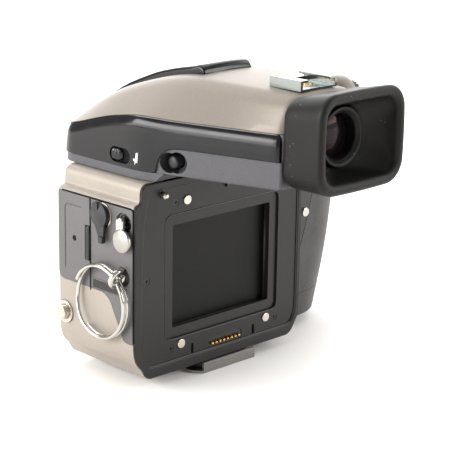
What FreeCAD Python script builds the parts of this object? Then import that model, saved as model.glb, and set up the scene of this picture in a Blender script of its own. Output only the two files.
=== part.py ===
import FreeCAD, Part
import math
import os

# Medium format single lens reflex body with its reflex viewfinder and grip, shown without lens
# and without film magazine. Every piece is drawn from three datums: X from the optical axis
# towards the photographer's right, Y forward from the magazine seat on the rear face, Z up from
# the underside of the body. It is written with the origin at the mouth of the tripod socket.

V = FreeCAD.Vector

# Fits and clearances
running_fit = 0.05
sliding_gap = 0.3
seat_gap = 0.3
seam = 0.25

# Body block
left_x = -51.8
right_x = 48.8
body_top = 85.5
body_front = 50.0
skin = 3.0
front_joint_x = -41.5
axis_z = 42.0
frame_depth = 5.0
frame_lip = 1.0
frame_height = 85.0
shoulder_inset = 3.4
rim_proud = 0.8
plate_left = -48.0
plate_right = 46.1
plate_bottom = 5.2
plate_top = 81.4
plate_thickness = 3.0

# Film gate in the rear plate
gate_width = 58.5
gate_height = 45.2
gate_margin = 5.0
gate_sink = 0.9

# Mirror box
box_half_width = 32.0
box_wall = 3.0
box_floor = 13.0
box_ceiling = 76.0
screen_thickness = 2.0

# Mirror
mirror_hinge_y = 9.0
mirror_hinge_drop = 5.4
mirror_hinge_z = box_ceiling - mirror_hinge_drop
mirror_length = 43.5
mirror_rear_width = 54.0
mirror_front_width = 35.0
mirror_glass = 1.2
mirror_carrier = 1.8
hinge_pin_radius = 1.2

# Auxiliary shutter leaves behind the mirror
leaf_side_room = 1.6
leaf_half_width = box_half_width - leaf_side_room
leaf_thickness = 0.8
leaf_y = 5.4
leaf_lap = 0.2

# Lens bayonet
throat_radius = 31.0
mount_outer_radius = 37.5
mount_flange_y = 58.0
mount_ring_depth = 4.0
boss_outer_radius = 40.5
boss_bore_radius = 34.0
lug_count = 3
lug_height = 2.4
lock_pin_radius = 1.6
lock_pin_stroke = 1.8

# Lens release button
release_y = 45.0
release_z = 21.2
release_radius = 3.2
release_bezel_radius = 5.0
release_proud = 3.4

# Side panel, hatch and nameplate on the left cover
panel_top = 75.2
panel_thickness = 1.6
panel_low = 36.0
panel_foot = 16.9
hatch_split_y = 28.6
panel_rear_y = 1.2
panel_front_y = 49.2
nameplate_length = 21.5
nameplate_height = 4.1

# Split ring: spring wire wound almost twice round
ring_wire_radius = 0.8
ring_radius = 15.6
ring_pitch = 2.1
ring_crossover_deg = 80.0
ring_lean_deg = 41.0
eye_lean_deg = 17.0
ring_slack = 0.2
eye_y = 7.8
eye_z = 45.2
eye_radius = 3.5
eye_wire_radius = 1.0

# Strap studs
stud_y = 7.8
stud_z = 61.6
stud_disc_radius = 5.0
right_lug_x = 53.0
right_lug_z = 55.8

# Grip
grip_top = 86.0
grip_wall = 2.6
lcd_length = 31.0
lcd_width = 22.0
wheel_radius = 8.5
wheel_width = 6.0

# Viewfinder
finder_base = 85.8
finder_half_width = 44.5
finder_rear_half_width = 25.2
finder_taper_y = 8.0
finder_rear_y = -54.5
finder_front_y = 60.0
finder_nose_radius = 11.0
overhang_bottom = 89.4
wing_foot = 100.6
wing_front_foot = 89.6
wing_thickness = 2.2
ridge_rear = 110.0
shell_wall = 2.2

# Flash head
flash_rear_y = 0.0
flash_front_y = 56.5
flash_rear_half_width = 14.0
flash_front_half_width = 17.0
flash_proud = 3.0
flash_depth = 5.6

# Hot shoe
shoe_half_width = 10.7
shoe_slot = 18.7
shoe_front_y = -34.4
shoe_length = 17.0
shoe_floor = 127.4
shoe_top = 130.9
shoe_plate = 0.9

# Eyecup and eyepiece
cup_front_y = -54.75
cup_rear_y = -76.0
cup_half_width = 25.4
cup_bottom = 89.2
cup_top = 129.9
cup_rim = 5.0
eyepiece_z = 109.2
eyepiece_y = -62.0
eyepiece_radius = 12.2
eye_lens_radius = 9.4

# Base
tripod_from_rear = 26.0
base_drop = 4.5
base_plate_thickness = 1.2
base_plate_left = -17.0
base_plate_right = 20.0
base_lip_left = -13.2
base_lip_right = 18.2
tripod_screw_radius = 4.76
small_screw_radius = 3.175
small_screw_y = 10.0

OUT = V(0, -tripod_from_rear, base_drop)


def write(name, shape):
    """Moves a finished piece to the tripod socket's origin and writes it as a solid of its own."""
    shape = shape.copy()
    shape.translate(OUT)
    shape = shape.removeSplitter()
    for solid in shape.Solids:
        if not solid.isValid():
            print("not valid:", name)
    if not shape.Solids:
        print("no solid:", name)
    if len(shape.Solids) == 1:
        shape = shape.Solids[0]
    shape.exportStep(os.path.join("parts", name + ".step"))
    print(name, len(shape.Solids), round(shape.Volume, 1))


def block(x0, x1, y0, y1, z0, z1):
    return Part.makeBox(x1 - x0, y1 - y0, z1 - z0, V(x0, y0, z0))


def drum(radius, base, direction, length):
    return Part.makeCylinder(radius, length, V(*base), V(*direction))


def tube(outer, inner, base, direction, length):
    return drum(outer, base, direction, length).cut(drum(inner, base, direction, length))


def joined(shapes):
    whole = shapes[0]
    for shape in shapes[1:]:
        whole = whole.fuse(shape)
    return whole


def rounded_wire(points, cuts, place):
    """Closed outline through 2D points; each corner is rounded off by its cut length."""
    edges = []
    starts = []
    ends = []
    count = len(points)
    for i in range(count):
        here = V(points[i][0], points[i][1], 0)
        before = V(points[i - 1][0], points[i - 1][1], 0) - here
        after = V(points[(i + 1) % count][0], points[(i + 1) % count][1], 0) - here
        cut = cuts[i] if isinstance(cuts, (list, tuple)) else cuts
        if cut <= 0:
            starts.append((here, None, here))
            continue
        cut = min(cut, 0.49 * before.Length, 0.49 * after.Length)
        a = here + before.normalize() * cut
        b = here + after.normalize() * cut
        half = before.getAngle(after) / 2
        bisector = (before + after).normalize()
        centre = here + bisector * (cut / math.cos(half))
        middle = centre - bisector * (cut * math.tan(half))
        starts.append((a, middle, b))
    for i in range(count):
        a, middle, b = starts[i]
        if middle is not None:
            edges.append(Part.Arc(place(a), place(middle), place(b)).toShape())
        start_next = starts[(i + 1) % count][0]
        if (start_next - b).Length > 1e-6:
            edges.append(Part.LineSegment(place(b), place(start_next)).toShape())
    return Part.Wire(edges)


def on_x(x):
    """Draws an outline given as (y, z) on the plane at x."""
    return lambda p: V(x, p.x, p.y)


def on_y(y):
    """Draws an outline given as (x, z) on the plane at y."""
    return lambda p: V(p.x, y, p.y)


def on_z(z):
    """Draws an outline given as (x, y) on the plane at z."""
    return lambda p: V(p.x, p.y, z)


def prism(points, cuts, place, sweep):
    return Part.Face(rounded_wire(points, cuts, place)).extrude(V(*sweep))


def rectangle(x0, x1, z0, z1):
    return [(x0, z0), (x1, z0), (x1, z1), (x0, z1)]


def between(stations, y):
    """Reads a size off a list of (y, size) stations by straight interpolation."""
    if y <= stations[0][0]:
        return stations[0][1]
    for (y0, a), (y1, b) in zip(stations, stations[1:]):
        if y <= y1:
            return a + (b - a) * (y - y0) / (y1 - y0)
    return stations[-1][1]


def eased(stations, y):
    """Reads a size off the stations along a smooth curve through all of them."""
    last = len(stations) - 1
    if y <= stations[0][0]:
        return stations[0][1]
    if y >= stations[last][0]:
        return stations[last][1]
    i = max(k for k in range(last) if stations[k][0] <= y)

    def slope(k):
        a = stations[max(k - 1, 0)]
        b = stations[min(k + 1, last)]
        return (b[1] - a[1]) / (b[0] - a[0])

    span = stations[i + 1][0] - stations[i][0]
    t = (y - stations[i][0]) / span
    h = t * t * (3 - 2 * t)
    bend = slope(i) * t * (1 - t) ** 2 - slope(i + 1) * t * t * (1 - t)
    return stations[i][1] * (1 - h) + stations[i + 1][1] * h + bend * span


def curve_edge(points, place):
    """Smooth edge through 2D points."""
    spline = Part.BSplineCurve()
    spline.interpolate([place(V(a, b, 0)) for a, b in points])
    return spline.toShape()


def path_edges(points, place):
    corners = [place(V(a, b, 0)) for a, b in points]
    return [Part.LineSegment(a, b).toShape() for a, b in zip(corners, corners[1:])]


# Body: rear frame, rear plate and the parts seated in them

def left_side(inset, top):
    """Left side in rear view: stepped foot, plateau for the panel, shoulder set in above it."""
    side = left_x + inset
    return [(side + 7.2, 0), (side + 4.6, 4.6), (side + 1.4, 8.0), (side, 13.0),
            (side, panel_top + 1.0), (side + shoulder_inset, panel_top + 2.3),
            (side + shoulder_inset + 0.3, top)]


LEFT_SIDE_CUTS = [2.2, 1.2, 2.2, 2.5, 1.3, 0.9, 5.0]


def rear_outline():
    """Rear view of the body, from the left foot up, along the top and down the right side."""
    return left_side(0.1, frame_height) + [(right_x, frame_height), (right_x, 9.0),
                                           (right_x - 6, 0)]


REAR_CUTS = LEFT_SIDE_CUTS + [5.0, 3.0, 3.0]


def plate_outline(grow):
    left = plate_left - grow
    right = plate_right + grow
    low = plate_bottom - grow
    high = plate_top + grow
    return [(left + 4, low), (right - 3, low), (right, low + 6), (right, high),
            (left + 4.4, high), (left + 2.8, high - 7), (left + 1, high - 21.5), (left, low + 5)]


PLATE_CUTS = [3.0, 3.0, 3.0, 4.0, 3.0, 3.0, 6.0, 3.0]


def gate_rectangle(grow):
    half_width = gate_width / 2 + grow
    half_height = gate_height / 2 + grow
    return rectangle(-half_width, half_width, axis_z - half_height, axis_z + half_height)


def rear_frame():
    """Frame behind the body; its left edge is a thin lip that laps over the left cover."""
    body = prism(rear_outline(), REAR_CUTS, on_y(0), (0, frame_depth, 0))
    window = prism(plate_outline(seam), PLATE_CUTS, on_y(-1), (0, frame_depth + 2, 0))
    lap = block(left_x - 1, left_joint_x + seam, frame_lip, frame_depth + 1, -1, body_top)
    return body.cut(window).cut(lap)


def rear_plate():
    front = rim_proud
    plate = prism(plate_outline(0), PLATE_CUTS, on_y(front), (0, plate_thickness, 0))
    sink = prism(gate_rectangle(gate_margin), 3.5, on_y(front - 1), (0, 1 + gate_sink, 0))
    opening = prism(gate_rectangle(0), 1.0, on_y(front - 1), (0, plate_thickness + 2, 0))
    plate = plate.cut(sink).cut(opening)
    for x, z in pad_places():
        plate = plate.cut(pad_shape(x, z, seam / 2, front - 1, 2.0))
    for x, z in screw_places():
        plate = plate.cut(drum(1.7, (x, front - 1, z), (0, 1, 0), 2.6))
    strip = contact_strip_outline(seam / 2)
    plate = plate.cut(prism(strip, 2.4, on_y(front - 1), (0, 2.2, 0)))
    for x in (-18.8, 18.6):
        plate = plate.cut(block(x, x + 1.4, front - 1, front + 1.0, plate_bottom + 0.4, 10.0))
    for x in contact_places():
        plate = plate.cut(drum(0.62 + seam, (x, 0, contact_z), (0, 1, 0), 6))
    plate = plate.cut(drum(1.55, (locating_pin[0], -1, locating_pin[1]), (0, 1, 0), 3.2))
    plate = plate.cut(drum(1.0, (1.5, -1, 77.3), (0, 1, 0), 3.0))
    return plate


contact_z = 7.5
contact_count = 8
contact_first_x = -6.8
contact_pitch = 2.34
locating_pin = (-36.0, 79.0)


def contact_places():
    return [contact_first_x + contact_pitch * i for i in range(contact_count)]


def contact_strip_outline(grow):
    return rectangle(-9.2 - grow, 12.0 + grow, 5.4 - grow, 10.1 + grow)


def pad_places():
    return [(-24.9, 11.6), (27.1, 11.6), (-22.0, 74.7), (24.0, 74.7)]


def screw_places():
    return [(-30.8, 10.6), (33.0, 10.6), (-28.3, 74.6), (30.2, 74.6), (-44.6, axis_z + 1.4)]


def pad_shape(x, z, grow, y, depth):
    outline = rectangle(x - 2.1 - grow, x + 2.1 + grow, z - 2.0 - grow, z + 2.0 + grow)
    return prism(outline, 1.9, on_y(y), (0, depth, 0))


def seating_pads():
    return Part.makeCompound([pad_shape(x, z, 0, 0.2, 1.6) for x, z in pad_places()])


def rear_fasteners():
    """Screws of the rear plate, the silver locating pin and the small stop pin above the gate."""
    solids = []
    for x, z in screw_places():
        head = drum(1.6, (x, rim_proud + 0.15, z), (0, 1, 0), 1.45)
        slot_a = block(x - 1.0, x + 1.0, rim_proud, rim_proud + 0.65, z - 0.2, z + 0.2)
        slot_b = block(x - 0.2, x + 0.2, rim_proud, rim_proud + 0.65, z - 1.0, z + 1.0)
        solids.append(head.cut(slot_a).cut(slot_b))
    x, z = locating_pin
    shank = drum(1.45, (x, -1.4, z), (0, 1, 0), 3.6)
    cone = Part.makeCone(0.7, 1.45, 0.9, V(x, -2.3, z), V(0, 1, 0))
    small = drum(0.9, (1.5, -0.2, 77.3), (0, 1, 0), 2.2)
    return Part.makeCompound(solids + [shank.fuse(cone), small])


def contact_strip():
    outline = contact_strip_outline(0)
    strip = prism(outline, 2.3, on_y(rim_proud + 0.25), (0, 0.95, 0))
    for x in contact_places():
        strip = strip.cut(drum(0.62 + seam, (x, 0, contact_z), (0, 1, 0), 4))
    return strip


def contact_pins():
    pins = []
    for x in contact_places():
        shank = drum(0.62, (x, -0.05, contact_z), (0, 1, 0), 4.3)
        tip = Part.makeSphere(0.62, V(x, -0.05, contact_z))
        pins.append(shank.fuse(tip))
    bar = block(contact_first_x - 1.2, contact_places()[-1] + 1.2, 3.95, 4.95,
                contact_z - 1.4, contact_z + 1.4)
    return joined(pins + [bar])


# Mirror box, screen, mirror and auxiliary shutter

def mirror_box():
    outer = block(-box_half_width - box_wall, box_half_width + box_wall,
                  frame_depth, body_front - skin - seam, box_floor - box_wall, box_ceiling + 4)
    inner = block(-box_half_width, box_half_width, frame_depth - 1, body_front,
                  box_floor, box_ceiling - screen_thickness)
    hatch = block(-28, 28, 12, body_front - 7, box_ceiling - 5, box_ceiling + 8)
    ledge = block(-30.2, 30.2, 10, body_front - 5, box_ceiling, box_ceiling + 8)
    box = outer.cut(inner).cut(hatch).cut(ledge)
    hinge = (0, mirror_hinge_y, mirror_hinge_z)
    span = 2 * box_half_width + 2 * box_wall - 1.2
    box = box.cut(drum(hinge_pin_radius + running_fit, (-span / 2, hinge[1], hinge[2]),
                       (1, 0, 0), span))
    for z in leaf_hinges():
        box = box.cut(drum(0.8 + running_fit, (-span / 2, leaf_y + 0.9, z), (1, 0, 0), span))
    x, z = lock_pin_place()
    depth = lock_pin_stroke + seat_gap
    return box.cut(drum(lock_pin_radius + seat_gap, (x, body_front - skin - seam - depth, z),
                        (0, 1, 0), depth + 1))


def focusing_screen():
    return block(-30.2 + seam, 30.2 - seam, 10 + seam, body_front - 5 - seam,
                 box_ceiling, box_ceiling + screen_thickness)


def leaf_hinges():
    half = gate_height / 2 + 1.6
    return (axis_z - half, axis_z + half)


def shutter_leaf(upper):
    low, high = leaf_hinges()
    z = high if upper else low
    tip = axis_z + (leaf_lap if upper else -leaf_lap)
    middle = leaf_y + 0.9
    leaf = block(-leaf_half_width, leaf_half_width, middle - leaf_thickness / 2,
                 middle + leaf_thickness / 2, min(z, tip), max(z, tip))
    barrel = drum(0.95, (-leaf_half_width, middle, z), (1, 0, 0), 2 * leaf_half_width)
    pin_length = 2 * box_half_width + 3.4
    pin = drum(0.8, (-pin_length / 2, middle, z), (1, 0, 0), pin_length)
    return joined([leaf, barrel, pin])


def tilted(shape):
    """Tips a plate drawn level from the mirror hinge down to its resting angle of 45 degrees."""
    shape = shape.copy()
    shape.rotate(V(0, mirror_hinge_y, mirror_hinge_z), V(1, 0, 0), -45)
    return shape


def mirror_outline(inset):
    front = mirror_hinge_y + mirror_length - inset
    rear = mirror_hinge_y + 2.2 + inset
    wide = mirror_rear_width / 2 - inset
    narrow = mirror_front_width / 2 - inset
    return [(-wide, rear), (wide, rear), (wide, rear + 16), (narrow, front), (-narrow, front),
            (-wide, rear + 16)]


def mirror_plate():
    z = mirror_hinge_z - mirror_glass
    return tilted(prism(mirror_outline(0.6), 1.0, on_z(z), (0, 0, mirror_glass)))


def mirror_frame():
    z = mirror_hinge_z - mirror_glass - mirror_carrier
    carrier = prism(mirror_outline(0), 1.5, on_z(z), (0, 0, mirror_carrier))
    barrel = drum(2.0, (-27, mirror_hinge_y, mirror_hinge_z), (1, 0, 0), 54)
    arm = block(-24, 24, mirror_hinge_y, mirror_hinge_y + 3.0, z, z + mirror_carrier)
    span = 2 * box_half_width + 3.6
    pin = drum(hinge_pin_radius, (-span / 2, mirror_hinge_y, mirror_hinge_z), (1, 0, 0), span)
    frame = joined([carrier, arm, barrel, pin])
    glass = prism(mirror_outline(0.6), 1.0, on_z(z + mirror_carrier), (0, 0, 3))
    return tilted(frame.cut(glass))


# Front plate and lens bayonet

def front_plate():
    outline = rectangle(front_joint_x + seam, right_x, 6.0, body_top - skin - seam)
    plate = prism(outline, 2.0, on_y(body_front - skin), (0, skin, 0))
    boss = drum(boss_outer_radius, (0, body_front, axis_z), (0, 1, 0),
                mount_flange_y - mount_ring_depth - body_front)
    bore = drum(boss_bore_radius, (0, body_front - skin - 1, axis_z), (0, 1, 0), 20)
    notch = block(-19.2, 19.2, body_front - skin - 1, mount_flange_y - mount_ring_depth + 1,
                  axis_z, axis_z + 33.6)
    plate = plate.fuse(boss).cut(bore).cut(notch)
    x, z = lock_pin_place()
    plate = plate.cut(drum(lock_pin_radius + running_fit, (x, body_front - skin - 1, z),
                           (0, 1, 0), 20))
    foot = lens_contact_y()
    strip = contact_block_shape(foot, 6.0)
    step = block(-9, 9, foot, foot + 2.0, axis_z - boss_bore_radius - 1, axis_z - throat_radius + 2)
    strip = strip.fuse(step)
    for x, z in lens_contact_places():
        strip = strip.cut(drum(0.75, (x, foot + 4.4, z), (0, 1, 0), 3))
    return plate.fuse(strip)


def lens_contact_y():
    return mount_flange_y - mount_ring_depth - 7.2


def lock_pin_place():
    turn = math.radians(200)
    reach = (throat_radius + mount_outer_radius) / 2 + 1.2
    return reach * math.cos(turn), axis_z + reach * math.sin(turn)


def bayonet_ring():
    base = mount_flange_y - mount_ring_depth
    ring = tube(mount_outer_radius, throat_radius, (0, base, axis_z), (0, 1, 0), mount_ring_depth)
    chamfer = Part.makeCone(throat_radius, throat_radius + 1.2, 1.2,
                            V(0, mount_flange_y - 1.2, axis_z), V(0, 1, 0))
    ring = ring.cut(chamfer)
    for i in range(lug_count):
        start = 15 + 120 * i
        lug = Part.makeCylinder(throat_radius + 0.5, 1.4, V(0, base, axis_z), V(0, 1, 0), 44)
        lug = lug.cut(drum(throat_radius - lug_height, (0, base - 1, axis_z), (0, 1, 0), 5))
        lug.rotate(V(0, 0, axis_z), V(0, 1, 0), start)
        ring = ring.fuse(lug)
    for i in range(4):
        turn = math.radians(45 + 90 * i)
        x = 35.6 * math.cos(turn)
        z = axis_z + 35.6 * math.sin(turn)
        ring = ring.cut(drum(1.15, (x, mount_flange_y - 1.0, z), (0, 1, 0), 2))
    x, z = lock_pin_place()
    ring = ring.cut(drum(lock_pin_radius + running_fit, (x, base - 1, z), (0, 1, 0), 8))
    return ring.cut(drum(0.9, (0, mount_flange_y - 0.5, axis_z + 34.4), (0, 1, 0), 1))


def lens_lock_pin():
    x, z = lock_pin_place()
    length = mount_flange_y + 1.2 - (body_front - skin)
    pin = drum(lock_pin_radius, (x, mount_flange_y + 1.2 - length, z), (0, 1, 0), length - 0.4)
    tip = Part.makeCone(lock_pin_radius, lock_pin_radius - 0.4, 0.4,
                        V(x, mount_flange_y + 0.8, z), V(0, 1, 0))
    return pin.fuse(tip)


def contact_block_shape(y, depth):
    """Curved strip for the lens contacts, just inside the throat at its foot."""
    outer = drum(throat_radius - 0.6, (0, y, axis_z), (0, 1, 0), depth)
    inner = drum(throat_radius - 4.6, (0, y - 1, axis_z), (0, 1, 0), depth + 2)
    window = block(-13, 13, y - 1, y + depth + 1, 0, axis_z - 20)
    return outer.cut(inner).common(window)


def lens_contact_places():
    places = []
    for i in range(10):
        turn = math.radians(-90 + (i - 4.5) * 4.6)
        reach = throat_radius - 2.6
        places.append((reach * math.cos(turn), axis_z + reach * math.sin(turn)))
    return places


def lens_contact_pins():
    y = lens_contact_y() + 4.4
    pins = []
    for x, z in lens_contact_places():
        pin = drum(0.7, (x, y, z), (0, 1, 0), 2.1)
        pins.append(pin.fuse(Part.makeSphere(0.7, V(x, y + 2.1, z))))
    return Part.makeCompound(pins)


# Covers

left_joint_x = -box_half_width - box_wall - seam


def left_outline():
    """Rear view of the left cover, from the bottom joint round to the top joint."""
    return [(left_joint_x, 0)] + left_side(0, body_top) + [(left_joint_x, body_top)]


LEFT_CUTS = [0] + LEFT_SIDE_CUTS + [0]


def left_hollow():
    """Space inside the left cover."""
    side = left_x + skin
    high = body_top - skin
    return [(left_joint_x, skin), (side + 7.2, skin), (side + 2.6, 11.0), (side, 15.0),
            (side, panel_top - 1.7), (side + shoulder_inset, panel_top + 0.3),
            (side + shoulder_inset, high), (left_joint_x, high)]


def panel_outline(inset):
    rear = panel_rear_y + inset
    split = hatch_split_y - inset
    return [(rear, panel_foot + inset), (7.0, panel_foot + inset), (17.3, panel_low + inset),
            (split, panel_low + inset), (split, panel_top - inset), (rear, panel_top - inset)]


PANEL_CUTS = [0.6, 2.4, 5.0, 0.6, 0.6, 0.6]


def hatch_outline(inset):
    front = panel_front_y - inset
    split = hatch_split_y + inset
    return [(split, panel_low + inset), (front, panel_low + inset), (front, panel_top - inset),
            (split, panel_top - inset)]


HATCH_CUTS = [0.6, 3.5, 1.2, 0.6]


def left_cover():
    rear = frame_lip + seam
    outer = prism(left_outline(), LEFT_CUTS, on_y(rear), (0, body_front - rear, 0))
    front_edges = [e for e in outer.Edges
                   if all(abs(v.Y - body_front) < 1e-6 for v in e.Vertexes)
                   and e.BoundBox.XMin < left_x + 9 and e.BoundBox.XMax < -42]
    outer = outer.makeFillet(1.6, front_edges)
    inner = prism(left_hollow(), 1.5, on_y(0), (0, body_front - skin, 0))
    side_window = block(-box_half_width - box_wall - 1.5, 0, 0, body_front - skin, skin, body_top - skin)
    front_window = block(front_joint_x, 0, body_front - skin - seam, body_front + 1,
                         6.0 - seam, body_top - skin)
    plate_room = prism(plate_outline(seam), PLATE_CUTS, on_y(0),
                       (0, rim_proud + plate_thickness + seam, 0))
    cover = outer.cut(inner).cut(side_window).cut(front_window).cut(plate_room)
    for outline, cuts in ((panel_outline(-0.15), PANEL_CUTS), (hatch_outline(-0.15), HATCH_CUTS)):
        cover = cover.cut(prism(outline, cuts, on_x(left_x - 1), (1 + panel_thickness, 0, 0)))
    cover = cover.cut(drum(release_radius + running_fit, (left_x - 1, release_y, release_z),
                           (1, 0, 0), 12))
    cover = cover.cut(drum(release_bezel_radius + 0.1, (left_x - 1, release_y, release_z),
                           (1, 0, 0), 1.5))
    cover = cover.cut(drum(4.2, (left_x - 1, socket_y, socket_z), (1, 0, 0), 8))
    return cover


socket_y = 20.4
socket_z = 69.0
recess_radius = 4.6
eye_recess_radius = 4.2
recess_depth = 1.1


def left_panel():
    panel = prism(panel_outline(0), PANEL_CUTS, on_x(left_x), (panel_thickness - 0.1, 0, 0))
    panel = panel.cut(drum(4.6, (left_x - 1, socket_y, socket_z), (1, 0, 0), 4))
    for y, z, r in ((stud_y - 0.6, stud_z + 6.6, recess_radius), (eye_y, eye_z, eye_recess_radius)):
        panel = panel.cut(drum(r, (left_x - 1, y, z), (1, 0, 0), 1 + recess_depth))
    y, z = nameplate_place()
    pocket = rectangle(y - 0.15, y + nameplate_length + 0.15, z - 0.15, z + nameplate_height + 0.15)
    return panel.cut(prism(pocket, 0.5, on_x(left_x - 1), (1.5, 0, 0)))


def nameplate_place():
    return 5.2, panel_low + 0.5


def nameplate():
    y, z = nameplate_place()
    outline = rectangle(y, y + nameplate_length, z, z + nameplate_height)
    return prism(outline, 0.4, on_x(left_x - 0.05), (0.5, 0, 0))


def accessory_hatch():
    hatch = prism(hatch_outline(0), HATCH_CUTS, on_x(left_x - 0.2), (panel_thickness + 0.1, 0, 0))
    raised = rectangle(hatch_split_y + 4.4, 44.9, 40.0, 70.3)
    groove = prism(raised, 2.6, on_x(left_x - 1), (1.15, 0, 0))
    groove = groove.cut(prism(rectangle(hatch_split_y - 3, 44.4, 35.0, 69.8), 2.4,
                              on_x(left_x - 2), (3, 0, 0)))
    hatch = hatch.cut(groove)
    hatch = hatch.cut(drum(accessory_screw_radius, (left_x - 1, 38.6, 55.6), (1, 0, 0), 6))
    slot = rectangle(hatch_split_y - 1, hatch_split_y + 3.1, 47.6, 62.9)
    return hatch.cut(prism(slot, 0.5, on_x(left_x - 1), (2.2, 0, 0)))


accessory_screw_radius = 1.25


def port_cover():
    bar = rectangle(hatch_split_y + 0.15, hatch_split_y + 2.9, 47.9, 62.6)
    cover = prism(bar, 0.5, on_x(left_x - 1.5), (2.4, 0, 0))
    lip = block(left_x - 1.5, left_x - 0.6, hatch_split_y - 0.7, hatch_split_y + 0.3, 49.5, 61.0)
    return cover.fuse(lip)


def sync_socket():
    bezel = tube(4.4, 3.0, (left_x - 1.0, socket_y, socket_z), (1, 0, 0), 2.6)
    barrel = tube(3.0, 1.9, (left_x - 1.0, socket_y, socket_z), (1, 0, 0), 6.0)
    floor = drum(3.0, (left_x + 3.5, socket_y, socket_z), (1, 0, 0), 1.5)
    pin = drum(0.6, (left_x, socket_y, socket_z), (1, 0, 0), 4)
    return joined([bezel, barrel, floor, pin])


def sync_cap():
    """Rubber cap with a finger nub above and a pull tail below."""
    out = left_x - 1.3
    disc = drum(4.9, (out - 2.4, socket_y + 0.8, socket_z), (1, 0, 0), 2.4)
    nub = prism(rectangle(socket_y - 0.4, socket_y + 3.4, socket_z + 2.0, socket_z + 6.2), 1.2,
                on_x(out - 2.0), (1.7, 0, 0))
    tail_points = [(socket_y - 1.8, socket_z - 3), (socket_y + 0.2, socket_z - 13.6),
                   (socket_y + 1.9, socket_z - 13.6), (socket_y + 4.2, socket_z - 3)]
    tail = prism(tail_points, 0.7, on_x(out - 1.8), (1.5, 0, 0))
    plug = drum(1.8 - running_fit, (out - 0.2, socket_y, socket_z), (1, 0, 0), 2.2)
    plug = plug.cut(drum(0.9, (out - 0.2, socket_y, socket_z), (1, 0, 0), 3))
    cap = joined([disc, nub, tail, plug])
    return cap


def left_strap_stud():
    """Strap stud: a disc held clear of the panel by a post that rises into its recess."""
    base = drum(recess_radius - seam, (left_x + recess_depth - 0.8, stud_y - 0.6, stud_z + 6.6),
                (1, 0, 0), 0.8)
    stem = drum(1.9, (left_x - 3.4, stud_y - 0.6, stud_z + 6.6), (1, 0, 0), 4.0)
    neck = block(left_x - 4.4, left_x - 1.6, stud_y - 2.1, stud_y + 2.1, stud_z, stud_z + 8.0)
    disc = drum(stud_disc_radius, (left_x - 5.6, stud_y, stud_z), (1, 0, 0), 2.0)
    return joined([base, stem, neck, disc])


def ring_eye():
    """Eye that carries the split ring; its loop stands square to the wire that it holds."""
    centre = V(ring_plane_x(), eye_y, eye_z)
    loop = Part.makeTorus(eye_radius, eye_wire_radius, V(0, 0, 0), V(0, 0, 1))
    loop.rotate(V(0, 0, 0), V(0, 1, 0), 90)
    loop.rotate(V(0, 0, 0), V(0, 0, 1), 90)
    loop.rotate(V(0, 0, 0), V(1, 0, 0), eye_lean_deg)
    loop.translate(centre)
    floor = left_x + recess_depth
    foot = drum(eye_recess_radius - seam, (floor - 0.8, eye_y, eye_z), (1, 0, 0), 0.8)
    trim = block(floor, floor + 20, eye_y - 20, eye_y + 20, eye_z - 20, eye_z + 20)
    return loop.fuse(foot).cut(trim)


def ring_plane_x():
    return left_x - 0.9 - ring_wire_radius - ring_pitch / 2


def arc_through(a, heading, b):
    """Arc from a to b that leaves a along the heading."""
    chord = b - a
    heading = V(heading).normalize()
    along = V(chord).normalize()
    angle = along.getAngle(heading)
    side = heading - along * heading.dot(along)
    if side.Length < 1e-9:
        return Part.LineSegment(a, b).toShape(), heading
    side.normalize()
    middle = (a + b) * 0.5 + side * (chord.Length / 2 * math.tan(angle / 2))
    leave = along * (2 * heading.dot(along)) - heading
    return Part.Arc(a, middle, b).toShape(), leave


def biarc(a, start, b, end):
    """Two arcs joined smoothly, from a along start to b along end."""
    v = b - a
    t = start + end
    k = 2 * (1 - start.dot(end))
    if k < 1e-9:
        d = v.dot(v) / (4 * v.dot(end))
    else:
        d = (-v.dot(t) + math.sqrt(v.dot(t) ** 2 + k * v.dot(v))) / k
    joint = (a + b + (start - end) * d) * 0.5
    first, heading = arc_through(a, start, joint)
    second, heading = arc_through(joint, heading, b)
    return [first, second]


def ring_point(turn_deg, layer_x):
    turn = math.radians(turn_deg)
    return V(layer_x, ring_radius * math.cos(turn), ring_radius * math.sin(turn))


def ring_heading(turn_deg):
    turn = math.radians(turn_deg)
    return V(0, -math.sin(turn), math.cos(turn))


def split_ring():
    """Two flat turns of wire joined by one crossover, with both ends beside it."""
    half = ring_crossover_deg / 2
    spans = 4
    step = (360 - ring_crossover_deg) / spans
    edges = []
    for layer in (0, 1):
        x = (layer - 0.5) * ring_pitch
        begin = half + 360 * layer
        for i in range(spans):
            a = begin + step * i
            edges.append(Part.Arc(ring_point(a, x), ring_point(a + step / 2, x),
                                  ring_point(a + step, x)).toShape())
        if layer == 0:
            a = 360 - half
            b = 360 + half
            edges += biarc(ring_point(a, x), ring_heading(a),
                           ring_point(b, x + ring_pitch), ring_heading(b))
    path = Part.Wire(edges)
    start = ring_point(half, -0.5 * ring_pitch)
    section = Part.Wire([Part.Circle(start, ring_heading(half), ring_wire_radius).toShape()])
    shell = Part.BRepOffsetAPI.MakePipeShell(path)
    shell.add(section)
    shell.build()
    shell.makeSolid()
    ring = shell.shape()
    print("split ring: wire length", round(path.Length, 1), "least gap to itself",
          round(self_gap(path, 3 * ring_wire_radius, ring_wire_radius), 2))
    ring.rotate(V(0, 0, 0), V(1, 0, 0), -14)
    ring.translate(V(ring_plane_x(), *ring_centre()))
    return ring


def ring_centre():
    """The ring hangs with both wires resting in the curve of the eye."""
    lean = math.radians(ring_lean_deg)
    rest = math.sqrt(eye_radius ** 2 - (ring_pitch / 2) ** 2)
    rest *= math.cos(lean - math.radians(eye_lean_deg))
    reach = ring_radius + rest - eye_wire_radius - ring_wire_radius - ring_slack
    return eye_y + reach * math.sin(lean), eye_z - reach * math.cos(lean)


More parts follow.
